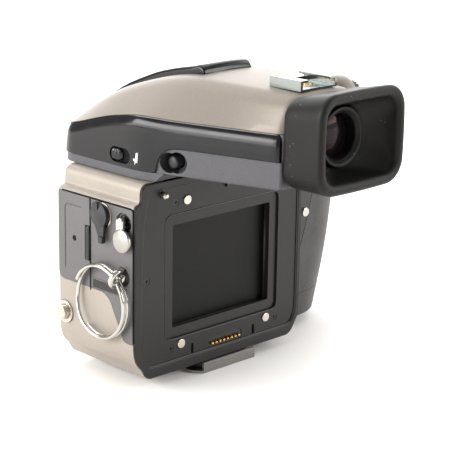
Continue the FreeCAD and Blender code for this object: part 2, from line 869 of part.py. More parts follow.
def self_gap(path, skip, radius):
    """Least clear distance between two stretches of one tube, measured on points."""
    count = 240
    points = path.discretize(count)
    step = path.Length / (count - 1)
    least = 1e9
    for i in range(count):
        for j in range(i + int(skip * 4 / step) + 1, count):
            least = min(least, points[i].distanceToPoint(points[j]))
    return least - 2 * radius


def release_bezel():
    return tube(release_bezel_radius, release_radius + 0.1, (left_x - 0.9, release_y, release_z),
                (1, 0, 0), 1.3)


def release_button():
    start = left_x - release_proud
    body = drum(release_radius, (start + 0.4, release_y, release_z), (1, 0, 0), 7.0)
    crown = Part.makeCone(release_radius - 0.4, release_radius, 0.4,
                          V(start, release_y, release_z), V(1, 0, 0))
    return body.fuse(crown)


def top_plate():
    plate = prism([(-box_half_width - box_wall, frame_depth + seam), (45.5, frame_depth + seam),
                   (45.5, body_front - skin - seam),
                   (-box_half_width - box_wall, body_front - skin - seam)], 0,
                  on_z(box_ceiling + 4), (0, 0, body_top - box_ceiling - 4 - skin))
    window = block(-30, 30, 10, body_front - 5, box_ceiling, body_top + 2)
    plate = plate.cut(window)
    cap = block(-box_half_width - box_wall, right_x, frame_depth + seam, body_front,
                body_top - skin, body_top)
    cap = cap.cut(block(-32, 32, 8, body_front - 4, 0, body_top + 2))
    return plate.fuse(cap)


def body_shell():
    """Floor and right wall of the body in one, with the chamfered foot between them."""
    left = -box_half_width - box_wall
    outer = [(left, 0), (right_x - 6.2, 0), (right_x, 9.0), (right_x, body_top - skin - seam),
             (right_x - skin, body_top - skin - seam), (right_x - skin, 10.0),
             (right_x - 7.6, skin), (left, skin)]
    shell = prism(outer, [0, 2.0, 2.0, 0, 0, 2.0, 1.0, 0], on_y(frame_depth + seam),
                  (0, body_front - skin - frame_depth - 2 * seam, 0))
    front = prism([(left, 0), (right_x - 6.2, 0), (right_x - 2.2, 6.0 - seam), (left, 6.0 - seam)],
                  [0, 2.0, 0, 0], on_y(body_front - skin - seam), (0, skin + seam, 0))
    shell = shell.fuse(front)
    bore = drum(7.0 + seam, (0, tripod_from_rear, -1), (0, 0, 1), 9)
    small = drum(5.0 + seam, (0, small_screw_y, -1), (0, 0, 1), 9)
    return shell.cut(bore).cut(small)


def tripod_boss():
    spacer = prism(rectangle(base_lip_left + 1, base_lip_right - 1, 1.5, 46.0), 3.0,
                   lambda p: V(p.x, p.y, -base_drop + base_plate_thickness),
                   (0, 0, base_drop - base_plate_thickness))
    hub = drum(7.0, (0, tripod_from_rear, -1), (0, 0, 1), 6.5)
    small_hub = drum(5.0, (0, small_screw_y, -1), (0, 0, 1), 6.5)
    boss = joined([spacer, hub, small_hub])
    boss = boss.cut(drum(tripod_screw_radius, (0, tripod_from_rear, -base_drop - 1), (0, 0, 1), 9.5))
    return boss.cut(drum(small_screw_radius, (0, small_screw_y, -base_drop - 1), (0, 0, 1), 9.5))


def base_plate():
    low = -base_drop
    sheet = prism([(base_plate_left, 2.6), (base_lip_left, -1.6), (base_lip_right, -1.6),
                   (base_plate_right, 2.0), (base_plate_right, 47.5), (base_plate_left, 47.5)],
                  [1.5, 0.6, 0.6, 1.0, 2.0, 2.0], on_z(low), (0, 0, base_plate_thickness))
    lip = block(base_lip_left, base_lip_right, -1.6, -1.6 + base_plate_thickness, low, 0.2)
    plate = sheet.fuse(lip)
    plate = plate.cut(drum(tripod_screw_radius, (0, tripod_from_rear, low - 1), (0, 0, 1), 5))
    return plate.cut(drum(small_screw_radius, (0, small_screw_y, low - 1), (0, 0, 1), 5))


# Grip

GRIP_LEVELS = [
    (0.6, [(49.1, 14.5), (75.0, 14.8), (91.0, 31.0), (92.5, 58.0), (82.0, 73.0), (62.0, 73.0),
           (49.1, 58.0)]),
    (30.0, [(49.1, 9.0), (76.0, 9.6), (95.5, 28.0), (96.5, 60.0), (85.0, 76.0), (62.0, 76.0),
            (49.1, 58.0)]),
    (60.0, [(49.1, 5.6), (76.0, 5.8), (98.0, 27.0), (99.0, 62.0), (87.0, 78.0), (62.0, 78.0),
            (49.1, 58.0)]),
    (grip_top, [(49.1, 5.4), (75.0, 5.6), (97.6, 26.0), (98.6, 62.0), (86.0, 77.0), (62.0, 77.0),
                (49.1, 58.0)]),
]
GRIP_CUTS = [0.8, 11.0, 13.0, 9.0, 9.0, 9.0, 4.0]


def grip_form(inset):
    """Moulded grip: the same rounded outline, leaning out and back as it rises."""
    wires = []
    count = 9
    for level in range(count):
        z = GRIP_LEVELS[0][0] + (grip_top - GRIP_LEVELS[0][0]) * level / (count - 1)
        points = []
        for i in range(len(GRIP_CUTS)):
            points.append([eased([(h, outline[i][k]) for h, outline in GRIP_LEVELS], z)
                           for k in (0, 1)])
        face = Part.Face(rounded_wire(points, GRIP_CUTS, on_z(z)))
        wires.append(face.makeOffset2D(-inset).OuterWire if inset else face.OuterWire)
    return Part.makeLoft(wires, True, True)


def battery_split():
    """Everything of the grip below the slanting joint with the battery."""
    return prism([(0, 10.5), (30, 16.0), (60, 26.0), (100, 40.0), (100, -20), (0, -20)], 0,
                 on_x(40), (80, 0, 0))


def right_seam_cutter(grow):
    """The narrow body-side strip beside the grip's rear seam."""
    low = 33.0 - grow
    high = grip_top - 3.2 + grow
    lean = 0.167
    foot = 56.4 + grow
    return prism([(40, low), (foot, low), (foot + lean * (high - low), high), (40, high)], 0,
                 on_y(-5), (0, 20 + grow, 0))


def grip_shells():
    form = grip_form(0)
    core = grip_form(grip_wall)
    battery_zone = battery_split()
    battery = form.common(battery_zone)
    upper = form.cut(battery_zone)
    core_upper = core.cut(translated(battery_zone, 0, 0, 2.4))
    core_upper = core_upper.common(block(0, 200, -50, 200, 0, grip_top - 3.0))
    strip = upper.common(right_seam_cutter(0)).cut(core_upper)
    strip = strip.cut(drum(1.5 + running_fit, (right_lug_x, -1, right_lug_z), (0, 1, 0), 20))
    housing = upper.cut(right_seam_cutter(seam)).cut(core_upper)
    for centre in (front_wheel_centre, rear_wheel_centre):
        for ear in wheel_bearing(centre):
            housing = housing.fuse(ear.common(grip_form(0.8)))
    battery = translated(battery, 0, 0, -seat_gap)
    return housing, strip, battery


def translated(shape, x, y, z):
    shape = shape.copy()
    shape.translate(V(x, y, z))
    return shape


lcd_centre = (74.0, 36.0)
button_radius = 2.7
button_stroke = 0.8
TOP_BUTTONS = {"power_button": (57.0, 28.0), "focus_mode_button": (57.0, 36.0),
               "drive_button": (57.0, 44.0)}


def grip_housing(housing):
    top = grip_top
    x, y = lcd_centre
    lcd = [(x - lcd_width / 2, y - lcd_length / 2), (x + lcd_width / 2, y - lcd_length / 2),
           (x + lcd_width / 2, y + lcd_length / 2), (x - lcd_width / 2, y + lcd_length / 2)]
    housing = housing.cut(prism(lcd, 2.0, on_z(top - 1.2), (0, 0, 5)))
    for bx, by in TOP_BUTTONS.values():
        housing = housing.cut(drum(button_radius + running_fit, (bx, by, top - 6), (0, 0, 1), 12))
    sx, sy = shutter_place
    housing = housing.fuse(drum(6.1, (sx, sy, top - 1.0), (0, 0, 1), 2.0))
    housing = housing.cut(drum(4.4 + running_fit, (sx, sy, top - 8), (0, 0, 1), 14))
    for centre in (front_wheel_centre, rear_wheel_centre):
        housing = housing.cut(drum(wheel_radius + 0.5, (centre[0] - wheel_width / 2 - 0.4, centre[1],
                                                        centre[2]), (1, 0, 0), wheel_width + 0.8))
        housing = housing.cut(drum(1.5 + running_fit, (centre[0] - 8, centre[1], centre[2]),
                                   (1, 0, 0), 16))
    for bx, bz in FRONT_BUTTONS.values():
        housing = housing.cut(drum(button_radius + running_fit, (bx, 60, bz), (0, 1, 0), 30))
    return housing


shutter_place = (76.0, 66.0)
front_wheel_centre = (76.0, 71.6, grip_top - 13.5)
rear_wheel_centre = (70.0, 12.6, grip_top - 11.0)
FRONT_BUTTONS = {"mirror_up_button": (66.5, 50.0), "stop_down_button": (66.5, 40.0)}
GRIP_FRONT = [(z, points[4][1]) for z, points in GRIP_LEVELS]


def top_button(place):
    x, y = place
    stem = drum(button_radius, (x, y, grip_top - 4.4), (0, 0, 1), 5.2)
    dish = Part.makeSphere(9.0, V(x, y, grip_top + 0.8 + 8.7))
    return stem.cut(dish)


def front_button(place):
    x, z = place
    front = between(GRIP_FRONT, z) + button_stroke + 0.1
    return drum(button_radius, (x, front - 6.6, z), (0, 1, 0), 6.6)


def shutter_button():
    x, y = shutter_place
    stem = drum(4.4, (x, y, grip_top - 3.4), (0, 0, 1), 5.0)
    crown = Part.makeCone(4.4, 3.6, 0.7, V(x, y, grip_top + 1.6), V(0, 0, 1))
    dish = Part.makeSphere(11.0, V(x, y, grip_top + 2.3 + 10.5))
    return stem.fuse(crown).cut(dish)


def control_wheel(centre):
    """Knurled wheel on a short axle; the rim stands out of its slot in the grip."""
    x, y, z = centre
    wheel = drum(wheel_radius, (x - wheel_width / 2, y, z), (1, 0, 0), wheel_width)
    grooves = 30
    for i in range(grooves):
        turn = 2 * math.pi * i / grooves
        rib = block(x - wheel_width / 2 - 1, x + wheel_width / 2 + 1, -0.35, 0.35,
                    wheel_radius - 0.5, wheel_radius + 1)
        rib.rotate(V(0, 0, 0), V(1, 0, 0), math.degrees(turn))
        rib.translate(V(0, y, z))
        wheel = wheel.cut(rib)
    axle = drum(1.5, (x - wheel_width / 2 - 3.0, y, z), (1, 0, 0), wheel_width + 6.0)
    return wheel.fuse(axle)


def wheel_bearing(centre):
    """Ears that carry a control wheel's axle inside the grip and tie it to the nearest wall."""
    x, y, z = centre
    toward = 1 if y > 40 else -1
    ears = []
    for side in (-1, 1):
        start = x + side * (wheel_width / 2 + 1.7) - 1.2
        ears.append(block(start, start + 2.4, min(y - 3 * toward, y + 14 * toward),
                          max(y - 3 * toward, y + 14 * toward), z - 3.2, z + 3.2))
    return ears


def lcd_panel():
    x, y = lcd_centre
    half_w = lcd_width / 2 - 0.15
    half_l = lcd_length / 2 - 0.15
    return prism([(x - half_w, y - half_l), (x + half_w, y - half_l), (x + half_w, y + half_l),
                  (x - half_w, y + half_l)], 1.9, on_z(grip_top - 1.2), (0, 0, 1.35))


def right_strap_lug():
    """Short headed post that stands out to the rear of the side strip."""
    stem = drum(1.5, (right_lug_x, 9.0, right_lug_z), (0, -1, 0), 6.4)
    head = drum(2.1, (right_lug_x, 3.4, right_lug_z), (0, -1, 0), 2.2)
    return stem.fuse(head)


# Viewfinder

TOP_LINE = [(-56, 126.2), (-40, 126.7), (-20, 127.2), (-4, 127.5), (8, 126.5), (18, 124.5),
            (28, 121.5), (38, 117.8), (47, 113.2), (54, 108.6), (61, 102.6)]
CREASE_HALF = [(-56, 17.8), (-40, 19.2), (-20, 21.2), (-4, 23.2), (8, 25.4), (18, 27.0),
               (28, 28.4), (38, 29.0), (47, 28.4), (54, 27.0), (61, 25.0)]
RIDGE_LINE = [(-62, ridge_rear), (-8, ridge_rear), (8, 110.4), (18, 109.0), (28, 107.0),
              (37, 104.6), (48, 101.4), (62, 98.4)]
FLASH_LINE = [(-4, 130.9), (2, 130.7), (8.3, 129.5), (14.4, 128.3), (20.5, 126.8),
              (26.7, 125.1), (33.1, 122.7), (39.5, 120.1), (46, 117.2), (52.6, 113.4),
              (58.6, 109.4)]
seam_above_ridge = 2.0
shell_inset = 2.1
crease_drop = 1.0
finder_bend = 6.0


def finder_half(y):
    """Half width of the viewfinder at the wings' ridge, eased round the bend of the sides."""
    slope = (finder_half_width - finder_rear_half_width) / (finder_taper_y - finder_rear_y)
    behind = finder_taper_y - y
    if behind <= -finder_bend:
        return finder_half_width
    if behind < finder_bend:
        return finder_half_width - slope * (behind + finder_bend) ** 2 / (4 * finder_bend)
    return finder_half_width - slope * behind


def finder_plan(inset, rear):
    w = finder_half_width - inset
    slope = (finder_half_width - finder_rear_half_width) / (finder_taper_y - finder_rear_y)
    r = w - slope * (finder_taper_y - rear)
    front = finder_front_y - inset
    return [(-r, rear), (r, rear), (w, finder_taper_y), (w, front), (-w, front),
            (-w, finder_taper_y)]


def plan_prism(inset, rear, low, high):
    nose = finder_nose_radius - inset
    cuts = [1.0, 1.0, finder_bend, nose, nose, finder_bend]
    return prism(finder_plan(inset, rear), cuts, on_z(low), (0, 0, high - low))


def dome_section(y, inset):
    """Cross section of the upper shell: sloping flanks, rounded creases, slightly crowned top."""
    top = eased(TOP_LINE, y) - inset
    seam_z = eased(RIDGE_LINE, y) + seam_above_ridge
    crease = eased(CREASE_HALF, y) - inset
    seam_half = finder_half(y) - shell_inset - inset * 1.2
    lower = 6.0
    slope = (seam_half - crease) / (top - crease_drop - seam_z)
    foot = seam_half + slope * lower
    low = seam_z - lower
    points = [(-foot, low), (foot, low), (crease, top - crease_drop), (0, top),
              (-crease, top - crease_drop)]
    return rounded_wire(points, [0, 0, 4.6, 10.0, 4.6], on_y(y))


def dome_form(inset, count):
    first = finder_rear_y - 1.5
    last = finder_front_y + 1.0
    stations = [first + (last - first) * i / (count - 1) for i in range(count)]
    return Part.makeLoft([dome_section(y, inset) for y in stations], True, True)


def ends_trimmed(form, inset, rear):
    """Cuts the upper shell's form off at its rear face and round the nose."""
    w = finder_half_width - inset
    front = finder_front_y - inset
    nose = finder_nose_radius - inset
    start = finder_front_y - finder_nose_radius
    tip = prism([(-w, start - 5), (w, start - 5), (w, front), (-w, front)], [0, 0, nose, nose],
                on_z(50), (0, 0, 100))
    corners = block(-70, 70, start, 90, 60, 140).cut(tip)
    return form.common(block(-70, 70, rear, 90, 60, 140)).cut(corners)


def below_line(line, lift, floor):
    """Everything under a line of the side view, out to both sides."""
    samples = [line[0][0] + (line[-1][0] - line[0][0]) * i / 24 for i in range(25)]
    top = [(y, eased(line, y) + lift) for y in samples]
    place = on_x(-80)
    sides = path_edges([top[-1], (top[-1][0], floor), (top[0][0], floor), top[0]], place)
    wire = Part.Wire([curve_edge(top, place)] + sides)
    return Part.Face(wire).extrude(V(160, 0, 0))


def top_shell():
    """Painted upper shell with the well for the flash head and the pad for the hot shoe."""
    dome = ends_trimmed(dome_form(0, 17), shell_inset - 0.2, finder_rear_y)
    dome = dome.cut(below_line(RIDGE_LINE, seam_above_ridge, 60))
    hollow = ends_trimmed(dome_form(shell_wall, 9), shell_inset + shell_wall,
                          finder_rear_y + shell_wall)
    hollow = hollow.cut(flash_form(sliding_gap + 1.6))
    shell = dome.cut(hollow).cut(flash_form(sliding_gap))
    x, y, z = dioptre_place
    boss = drum(7.8, (14.0, y, z), (1, 0, 0), x - 14.0 - sliding_gap)
    boss = boss.makeFillet(1.6, [e for e in boss.Edges if e.BoundBox.XMin > 15])
    boss = boss.cut(dome_form(shell_wall, 9)).cut(below_line(RIDGE_LINE, seam_above_ridge, 60))
    shell = shell.fuse(boss)
    shell = shell.cut(drum(1.6 + running_fit, (x - 8, y, z), (1, 0, 0), 12))
    rear = shoe_front_y - shoe_length
    pad = block(-shoe_half_width, shoe_half_width, rear, shoe_front_y, shoe_floor - 4,
                shoe_floor - shoe_plate)
    room = block(-shoe_half_width - 0.1, shoe_half_width + 0.1, rear - 0.1, shoe_front_y + 0.1,
                 shoe_floor - shoe_plate, 140)
    shell = shell.cut(room).fuse(pad)
    return shell.cut(eye_channel())


def eye_channel():
    return drum(eye_lens_radius - 0.6, (0, finder_rear_y - 1, eyepiece_z), (0, 1, 0), 6)


def flash_form(grow):
    """Flash head: follows the shell's top line, with its hinge barrel at the rear."""
    ys = [4, 10, 16, 22, 28, 34, 40, 46, 51, flash_front_y]
    top = [(y, eased(FLASH_LINE, y) + grow) for y in ys]
    under = [(y, eased(FLASH_LINE, y) - flash_depth - grow) for y in reversed(ys)]
    place = on_x(-30)
    nose = [top[-1], under[0]]
    if grow:
        nose = [top[-1], (66, top[-1][1] - 4), (66, under[0][1] - 4), under[0]]
    edges = [curve_edge(top, place)] + path_edges(nose, place) + [curve_edge(under, place)]
    edges += path_edges([under[-1], top[0]], place)
    slab = Part.Face(Part.Wire(edges)).extrude(V(60, 0, 0))
    y, z = flash_hinge
    slab = slab.fuse(drum(flash_barrel + grow, (-30, y, z), (1, 0, 0), 60))
    rear = flash_rear_half_width + grow
    front = flash_front_half_width + grow
    far = flash_front_y + (12 if grow else 4)
    plan = prism([(-rear, -6), (rear, -6), (front, far), (-front, far)], 0, on_z(80), (0, 0, 60))
    return slab.common(plan)


flash_hinge = (3.0, 127.3)
flash_barrel = 3.4


def flash_head():
    """Flash head with the pocket for its window in the front edge."""
    low = flash_window_foot()
    pocket = block(-13.0, 13.0, flash_front_y - 1.9, flash_front_y + 1, low, low + 3.4)
    return flash_form(0).cut(pocket)


def flash_window_foot():
    return eased(FLASH_LINE, flash_front_y) - flash_depth + 1.1


def flash_window():
    low = flash_window_foot()
    return block(-12.9, 12.9, flash_front_y - 1.9, flash_front_y - 0.3, low + 0.1, low + 3.3)


def wing(side):
    """Dark side cover: ridge, chamfer up to the shell's seam, lower edge stepped at the recess."""
    ring = plan_prism(0, finder_rear_y, 70, 125)
    ring = ring.cut(plan_prism(wing_thickness, finder_rear_y - 3, 60, 130))
    ring = ring.common(below_line(RIDGE_LINE, seam_above_ridge - 0.1, 60))
    ring = ring.common(above_wing_edge(0)).cut(ridge_chamfer())
    if side < 0:
        return ring.common(block(-80, -0.12, -80, 80, 60, 140))
    return ring.common(block(0.12, 80, -80, 80, 60, 140))


recess_centre = (-10.4, 93.2)
recess_round = 7.4


def above_wing_edge(drop):
    """What lies above the wings' lower edge: low along the body, stepped up round the recess."""
    y, z = recess_centre
    points = [(-90, wing_foot - drop), (y - drop, wing_foot - drop),
              (y + recess_round * 0.98 - drop, wing_foot - 2.4 - drop),
              (y + recess_round + 0.9 - drop, wing_front_foot - drop), (90, wing_front_foot - drop),
              (90, 140), (-90, 140)]
    return prism(points, [0, 0, 5.6, 0.8, 0, 0, 0], on_x(-80), (160, 0, 0))


def ridge_chamfer():
    """Takes the wings' top edge in to the seam with the upper shell."""
    stations = [-62 + 10 * i for i in range(7)] + [2, 8, 14, 20, 28, 36, 44, 50, 62]
    wires = {-1: [], 1: []}
    for y in stations:
        w = finder_half(y)
        z = eased(RIDGE_LINE, y)
        for side in (-1, 1):
            wires[side].append(rounded_wire(
                [(side * (w + 0.02), z), (side * (w + 6), z - 0.2), (side * (w + 6), z + 8),
                 (side * (w - 1.9), z + 8), (side * (w - 1.9), z + 1.7)], 0, on_y(y)))
    return Part.makeLoft(wires[-1], True, True).fuse(Part.makeLoft(wires[1], True, True))


def lower_housing():
    """Grey lower housing: lip along the body, tapering beam to the eyepiece, hollow inside."""
    core = plan_prism(wing_thickness + 0.05, finder_rear_y, 85, 125)
    lip = plan_prism(0.6, finder_rear_y, 60, wing_front_foot - 0.15)
    beam = plan_prism(1.0, finder_rear_y, 60, wing_foot - 0.15).cut(above_wing_edge(0.15))
    form = joined([core, lip, beam]).common(below_line(RIDGE_LINE, seam_above_ridge - 0.4, 60))
    form = form.cut(under_finder(0))
    inner = plan_prism(wing_thickness + 2.2, finder_rear_y + 2.2, 85, 125)
    inner = inner.cut(under_finder(2.6))
    y, z = recess_centre
    boss = drum(recess_round + 1.2, (-44, y, z), (1, 0, 0), 10.2).common(form)
    housing = form.cut(inner).fuse(boss)
    housing = housing.cut(drum(recess_round, (-56, y, z), (1, 0, 0), 19.6))
    housing = housing.cut(drum(3.6 + running_fit, (-46, y, z), (1, 0, 0), 20))
    housing = housing.cut(block(-25, 25, 12, 44, 60, 95))
    return housing.cut(eye_channel())


def under_finder(lift):
    """The space below the viewfinder: body top in front, the overhang behind."""
    low = finder_base + lift
    points = [(-90, overhang_bottom + lift), (-4.0, overhang_bottom + lift), (-0.6, low),
              (90, low), (90, 60), (-90, 60)]
    return prism(points, [0, 3.0, 0, 0, 0, 0], on_x(-80), (160, 0, 0))


def prism_block():
    """Roof prism above the screen, seated round the opening in the housing's floor."""
    low = finder_base + 2.6
    side = [(-14, low + 12), (8, low), (47, low), (47, low + 3), (26, 111.0), (16, 116.0),
            (-6, 117.5), (-14, 113.0)]
    return prism(side, 0, on_x(-27), (54, 0, 0))


def finder_release():
    """Round button in the left recess that frees the viewfinder from the body."""
    y, z = recess_centre
    body = drum(3.6, (-38.6, y, z), (1, 0, 0), 5.6)
    crown = Part.makeCone(2.8, 3.6, 0.8, V(-39.4, y, z), V(1, 0, 0))
    return body.fuse(crown)


switch_y = 18.0
switch_z = 94.3


def flash_switch():
    """Ribbed slider in a stadium recess on the left wing."""
    x = -finder_half_width
    knob = prism(rectangle(switch_y - 0.4, switch_y + 5.2, switch_z - 2.7, switch_z + 2.7), 2.2,
                 on_x(x - 0.7), (2.3, 0, 0))
    for i in range(3):
        y = switch_y + 1.2 + 1.3 * i
        knob = knob.cut(block(x - 1.2, x - 0.35, y - 0.25, y + 0.25, switch_z - 2.0, switch_z + 2.0))
    return knob


def switch_pocket():
    outline = rectangle(switch_y - 6.0, switch_y + 6.0, switch_z - 3.2, switch_z + 3.2)
    return prism(outline, 2.9, on_x(-finder_half_width - 1), (1 + 1.7, 0, 0))


def hot_shoe():
    half = shoe_half_width
    front = shoe_front_y
    rear = shoe_front_y - shoe_length
    base = block(-half, half, rear, front, shoe_floor - shoe_plate, shoe_floor)
    shape = base
    for side in (-1, 1):
        inner = side * shoe_slot / 2
        outer = side * half
        wall = block(min(inner, outer), max(inner, outer), rear, front, shoe_floor - 0.2, shoe_top)
        lip_x = side * 6.3
        lip = block(min(lip_x, outer), max(lip_x, outer), rear, front, shoe_top - 1.1, shoe_top)
        shape = shape.fuse(wall).fuse(lip)
    stop = block(-half, half, front - 1.0, front, shoe_floor - 0.1, shoe_floor + 1.2)
    shape = shape.fuse(stop)
    return shape.cut(drum(4.2, (0, front - 8.2, shoe_floor - 2), (0, 0, 1), 6))


def shoe_contacts():
    front = shoe_front_y
    low = shoe_floor - shoe_plate
    pad = drum(4.0, (0, front - 8.2, low), (0, 0, 1), 0.85)
    pins = [drum(1.2, (0, front - 8.2, low), (0, 0, 1), 1.15)]
    for x, y in ((-2.4, -2.2), (2.4, -2.2), (0.0, 2.8)):
        pins.append(drum(0.5, (x, front - 8.2 + y, low), (0, 0, 1), 1.05))
    return joined([pad] + pins)


def cup_section(y, inset):
    """Rounded rectangle of the eyecup at one depth; it flares upwards to the rear."""
    t = (y - cup_front_y) / (cup_rear_y - cup_front_y)
    half = finder_rear_half_width - 0.9 + (cup_half_width - finder_rear_half_width + 0.9) * t - inset
    top = 126.0 + (cup_top - 126.0) * t - inset
    low = 89.6 + (cup_bottom - 89.6) * t + inset
    radius = 8.5 + 1.5 * t - inset * 0.8
    return rounded_wire(rectangle(-half, half, low, top), radius, on_y(y))


def funnel_section(y, half, low, top, radius):
    return rounded_wire(rectangle(-half, half, low, top), radius, on_y(y))


def eyecup():
    """Soft eyecup: broad rolled rim, funnel down to the eyepiece ring, hollow behind its face."""
    outer = Part.makeLoft([cup_section(y, 0) for y in (cup_front_y, cup_rear_y)], True, True)
    rim = [e for e in outer.Edges if all(abs(v.Y - cup_rear_y) < 1e-6 for v in e.Vertexes)]
    outer = outer.makeFillet(2.2, rim)
    face = eyepiece_y - 1.4
    mouth = funnel_section(cup_rear_y - 1, cup_half_width - cup_rim, cup_bottom + cup_rim,
                           cup_top - cup_rim, 7.5)
    funnel = Part.makeLoft([mouth, funnel_section(face, 18.5, 96.0, 122.0, 8.0)], True, True)
    inner = Part.makeLoft([funnel_section(face + 2.0, 19.0, 95.0, 122.0, 8.0),
                           funnel_section(cup_front_y + 1, 21.5, 92.2, 123.2, 8.0)], True, True)
    cup = outer.cut(funnel).cut(inner)
    return cup.cut(drum(eyepiece_radius + seam, (0, eyepiece_y + 9, eyepiece_z), (0, -1, 0), 20))


def eyepiece_ring():
    front = cup_front_y
    length = front - eyepiece_y + 2.6
    ring = tube(eyepiece_radius, eye_lens_radius, (0, front, eyepiece_z), (0, -1, 0), length)
    bevel = Part.makeCone(eye_lens_radius + 1.6, eye_lens_radius, 1.6,
                          V(0, front - length, eyepiece_z), V(0, 1, 0))
    return ring.cut(bevel)


def eye_lens():
    front = cup_front_y - 1.0
    glass = drum(eye_lens_radius - 0.02, (0, front, eyepiece_z), (0, -1, 0), 5.0)
    dish = Part.makeSphere(34.0, V(0, front - 5.0 + 34.0 - 0.01, eyepiece_z))
    return glass.common(dish)


def dioptre_wheel():
    x, y, z = dioptre_place
    wheel = drum(6.2, (x, y, z), (1, 0, 0), 3.2)
    for i in range(24):
        rib = block(x - 1, x + 5, -0.3, 0.3, 5.8, 8)
        rib.rotate(V(0, 0, 0), V(1, 0, 0), 15 * i)
        rib.translate(V(0, y, z))
        wheel = wheel.cut(rib)
    axle = drum(1.6, (x - 6.0, y, z), (1, 0, 0), 6.2)
    return wheel.fuse(axle)


dioptre_place = (28.8, -41.0, 118.9)


BODY_PIECES = {
    "rear_frame": rear_frame, "rear_plate": rear_plate, "seating_pads": seating_pads,
    "rear_fasteners": rear_fasteners, "contact_strip": contact_strip,
    "contact_pins": contact_pins, "mirror_box": mirror_box, "focusing_screen": focusing_screen,
    "mirror_glass": mirror_plate, "mirror_carrier": mirror_frame, "front_plate": front_plate,
    "bayonet_ring": bayonet_ring, "lens_lock_pin": lens_lock_pin,
    "lens_contact_pins": lens_contact_pins, "left_cover": left_cover, "left_panel": left_panel,
    "nameplate": nameplate, "accessory_hatch": accessory_hatch, "port_cover": port_cover,
    "sync_socket": sync_socket, "sync_cap": sync_cap, "left_strap_stud": left_strap_stud,
    "ring_eye": ring_eye, "split_ring": split_ring, "release_bezel": release_bezel,
    "release_button": release_button, "top_plate": top_plate, "body_shell": body_shell,
    "tripod_boss": tripod_boss, "base_plate": base_plate, "right_strap_lug": right_strap_lug,
}

FINDER_PIECES = {
    "finder_top_shell": top_shell, "flash_head": flash_head, "flash_window": flash_window,
    "finder_lower_housing": lower_housing, "finder_prism": prism_block,
    "finder_release": finder_release, "flash_switch": flash_switch, "hot_shoe": hot_shoe,
    "shoe_contacts": shoe_contacts, "eyecup": eyecup, "eyepiece_ring": eyepiece_ring,
    "eye_lens": eye_lens, "dioptre_wheel": dioptre_wheel,
}


def write_grip():
    housing, strip, battery = grip_shells()
    write("grip_housing", grip_housing(housing))
    write("grip_side_strip", strip)
    write("battery_grip", battery)
    write("lcd_panel", lcd_panel())
    write("shutter_button", shutter_button())
    for name, place in TOP_BUTTONS.items():
        write(name, top_button(place))
    for name, place in FRONT_BUTTONS.items():
        write(name, front_button(place))
    write("front_control_wheel", control_wheel(front_wheel_centre))
    write("rear_control_wheel", control_wheel(rear_wheel_centre))


os.makedirs("parts", exist_ok=True)
for name, make in BODY_PIECES.items():
    write(name, make())
write("upper_shutter_leaf", shutter_leaf(True))
write("lower_shutter_leaf", shutter_leaf(False))
write_grip()
for name, make in FINDER_PIECES.items():
    write(name, make())
write("left_wing", wing(-1).cut(switch_pocket()))
write("right_wing", wing(1))
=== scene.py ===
# Medium format film camera body with its reflex viewfinder, seen from behind and to the left.
import bmesh
import bpy
from math import copysign, cos, hypot, radians, sin, sqrt, tau
from mathutils import Matrix, Vector


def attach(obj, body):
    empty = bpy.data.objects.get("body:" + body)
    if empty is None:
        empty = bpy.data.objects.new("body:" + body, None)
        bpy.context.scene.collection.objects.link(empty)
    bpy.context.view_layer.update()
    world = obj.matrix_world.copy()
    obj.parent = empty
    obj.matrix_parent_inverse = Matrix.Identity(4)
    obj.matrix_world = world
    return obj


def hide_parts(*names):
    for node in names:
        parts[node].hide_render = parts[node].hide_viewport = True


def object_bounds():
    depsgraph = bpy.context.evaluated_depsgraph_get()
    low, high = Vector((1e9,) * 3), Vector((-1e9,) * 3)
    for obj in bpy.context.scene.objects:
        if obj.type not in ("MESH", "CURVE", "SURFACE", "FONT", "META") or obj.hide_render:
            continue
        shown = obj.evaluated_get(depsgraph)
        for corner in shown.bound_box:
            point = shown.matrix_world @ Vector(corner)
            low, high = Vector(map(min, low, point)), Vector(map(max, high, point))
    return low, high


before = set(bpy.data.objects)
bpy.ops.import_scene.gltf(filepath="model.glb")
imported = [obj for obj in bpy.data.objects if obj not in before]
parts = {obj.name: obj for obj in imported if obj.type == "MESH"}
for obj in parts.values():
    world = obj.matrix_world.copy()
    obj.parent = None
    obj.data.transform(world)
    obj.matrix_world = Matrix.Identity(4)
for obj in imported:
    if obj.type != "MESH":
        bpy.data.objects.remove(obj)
cad_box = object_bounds()
scene = bpy.context.scene

MM = 0.001
JOIN_DISTANCE = 0.002 * MM
# The drawing starts at the rear frame's foot, below the gate; the model at the tripod socket
BODY_ORIGIN = Vector((0.0, -26.0, 4.5))


def at(x, y, z):
    """A place of the body's drawing, in millimetres, as a point of the model in metres."""
    return (Vector((x, y, z)) + BODY_ORIGIN) * MM


def linked(name, data):
    """Puts an object with this data into the scene."""
    made = bpy.data.objects.new(name, data)
    scene.collection.objects.link(made)
    return made


# Camera: a long lens from behind, to the left and a little above

camera_place = (-467.0, -467.46, 243.41)
camera_turn = 44.962
camera_tilt = 15.533
camera_roll = 0.942
lens_length = 127.5


def camera():
    """The camera that takes the picture."""
    turn, tilt, roll = (radians(a) for a in (camera_turn, camera_tilt, camera_roll))
    look = Vector((sin(turn) * cos(tilt), cos(turn) * cos(tilt), -sin(tilt)))
    right = Vector((cos(turn), -sin(turn), 0))
    up = right.cross(look)
    across = right * cos(roll) + up * sin(roll)
    upright = up * cos(roll) - right * sin(roll)
    data = bpy.data.cameras.new("camera")
    data.lens = lens_length
    data.sensor_width = 36.0
    data.clip_start = 0.01
    data.clip_end = 30.0
    seen_by = linked("camera", data)
    seen_by.matrix_world = Matrix.Translation(at(*camera_place)) @ Matrix(
        (across, upright, -look)).transposed().to_4x4()
    scene.camera = seen_by


# Materials

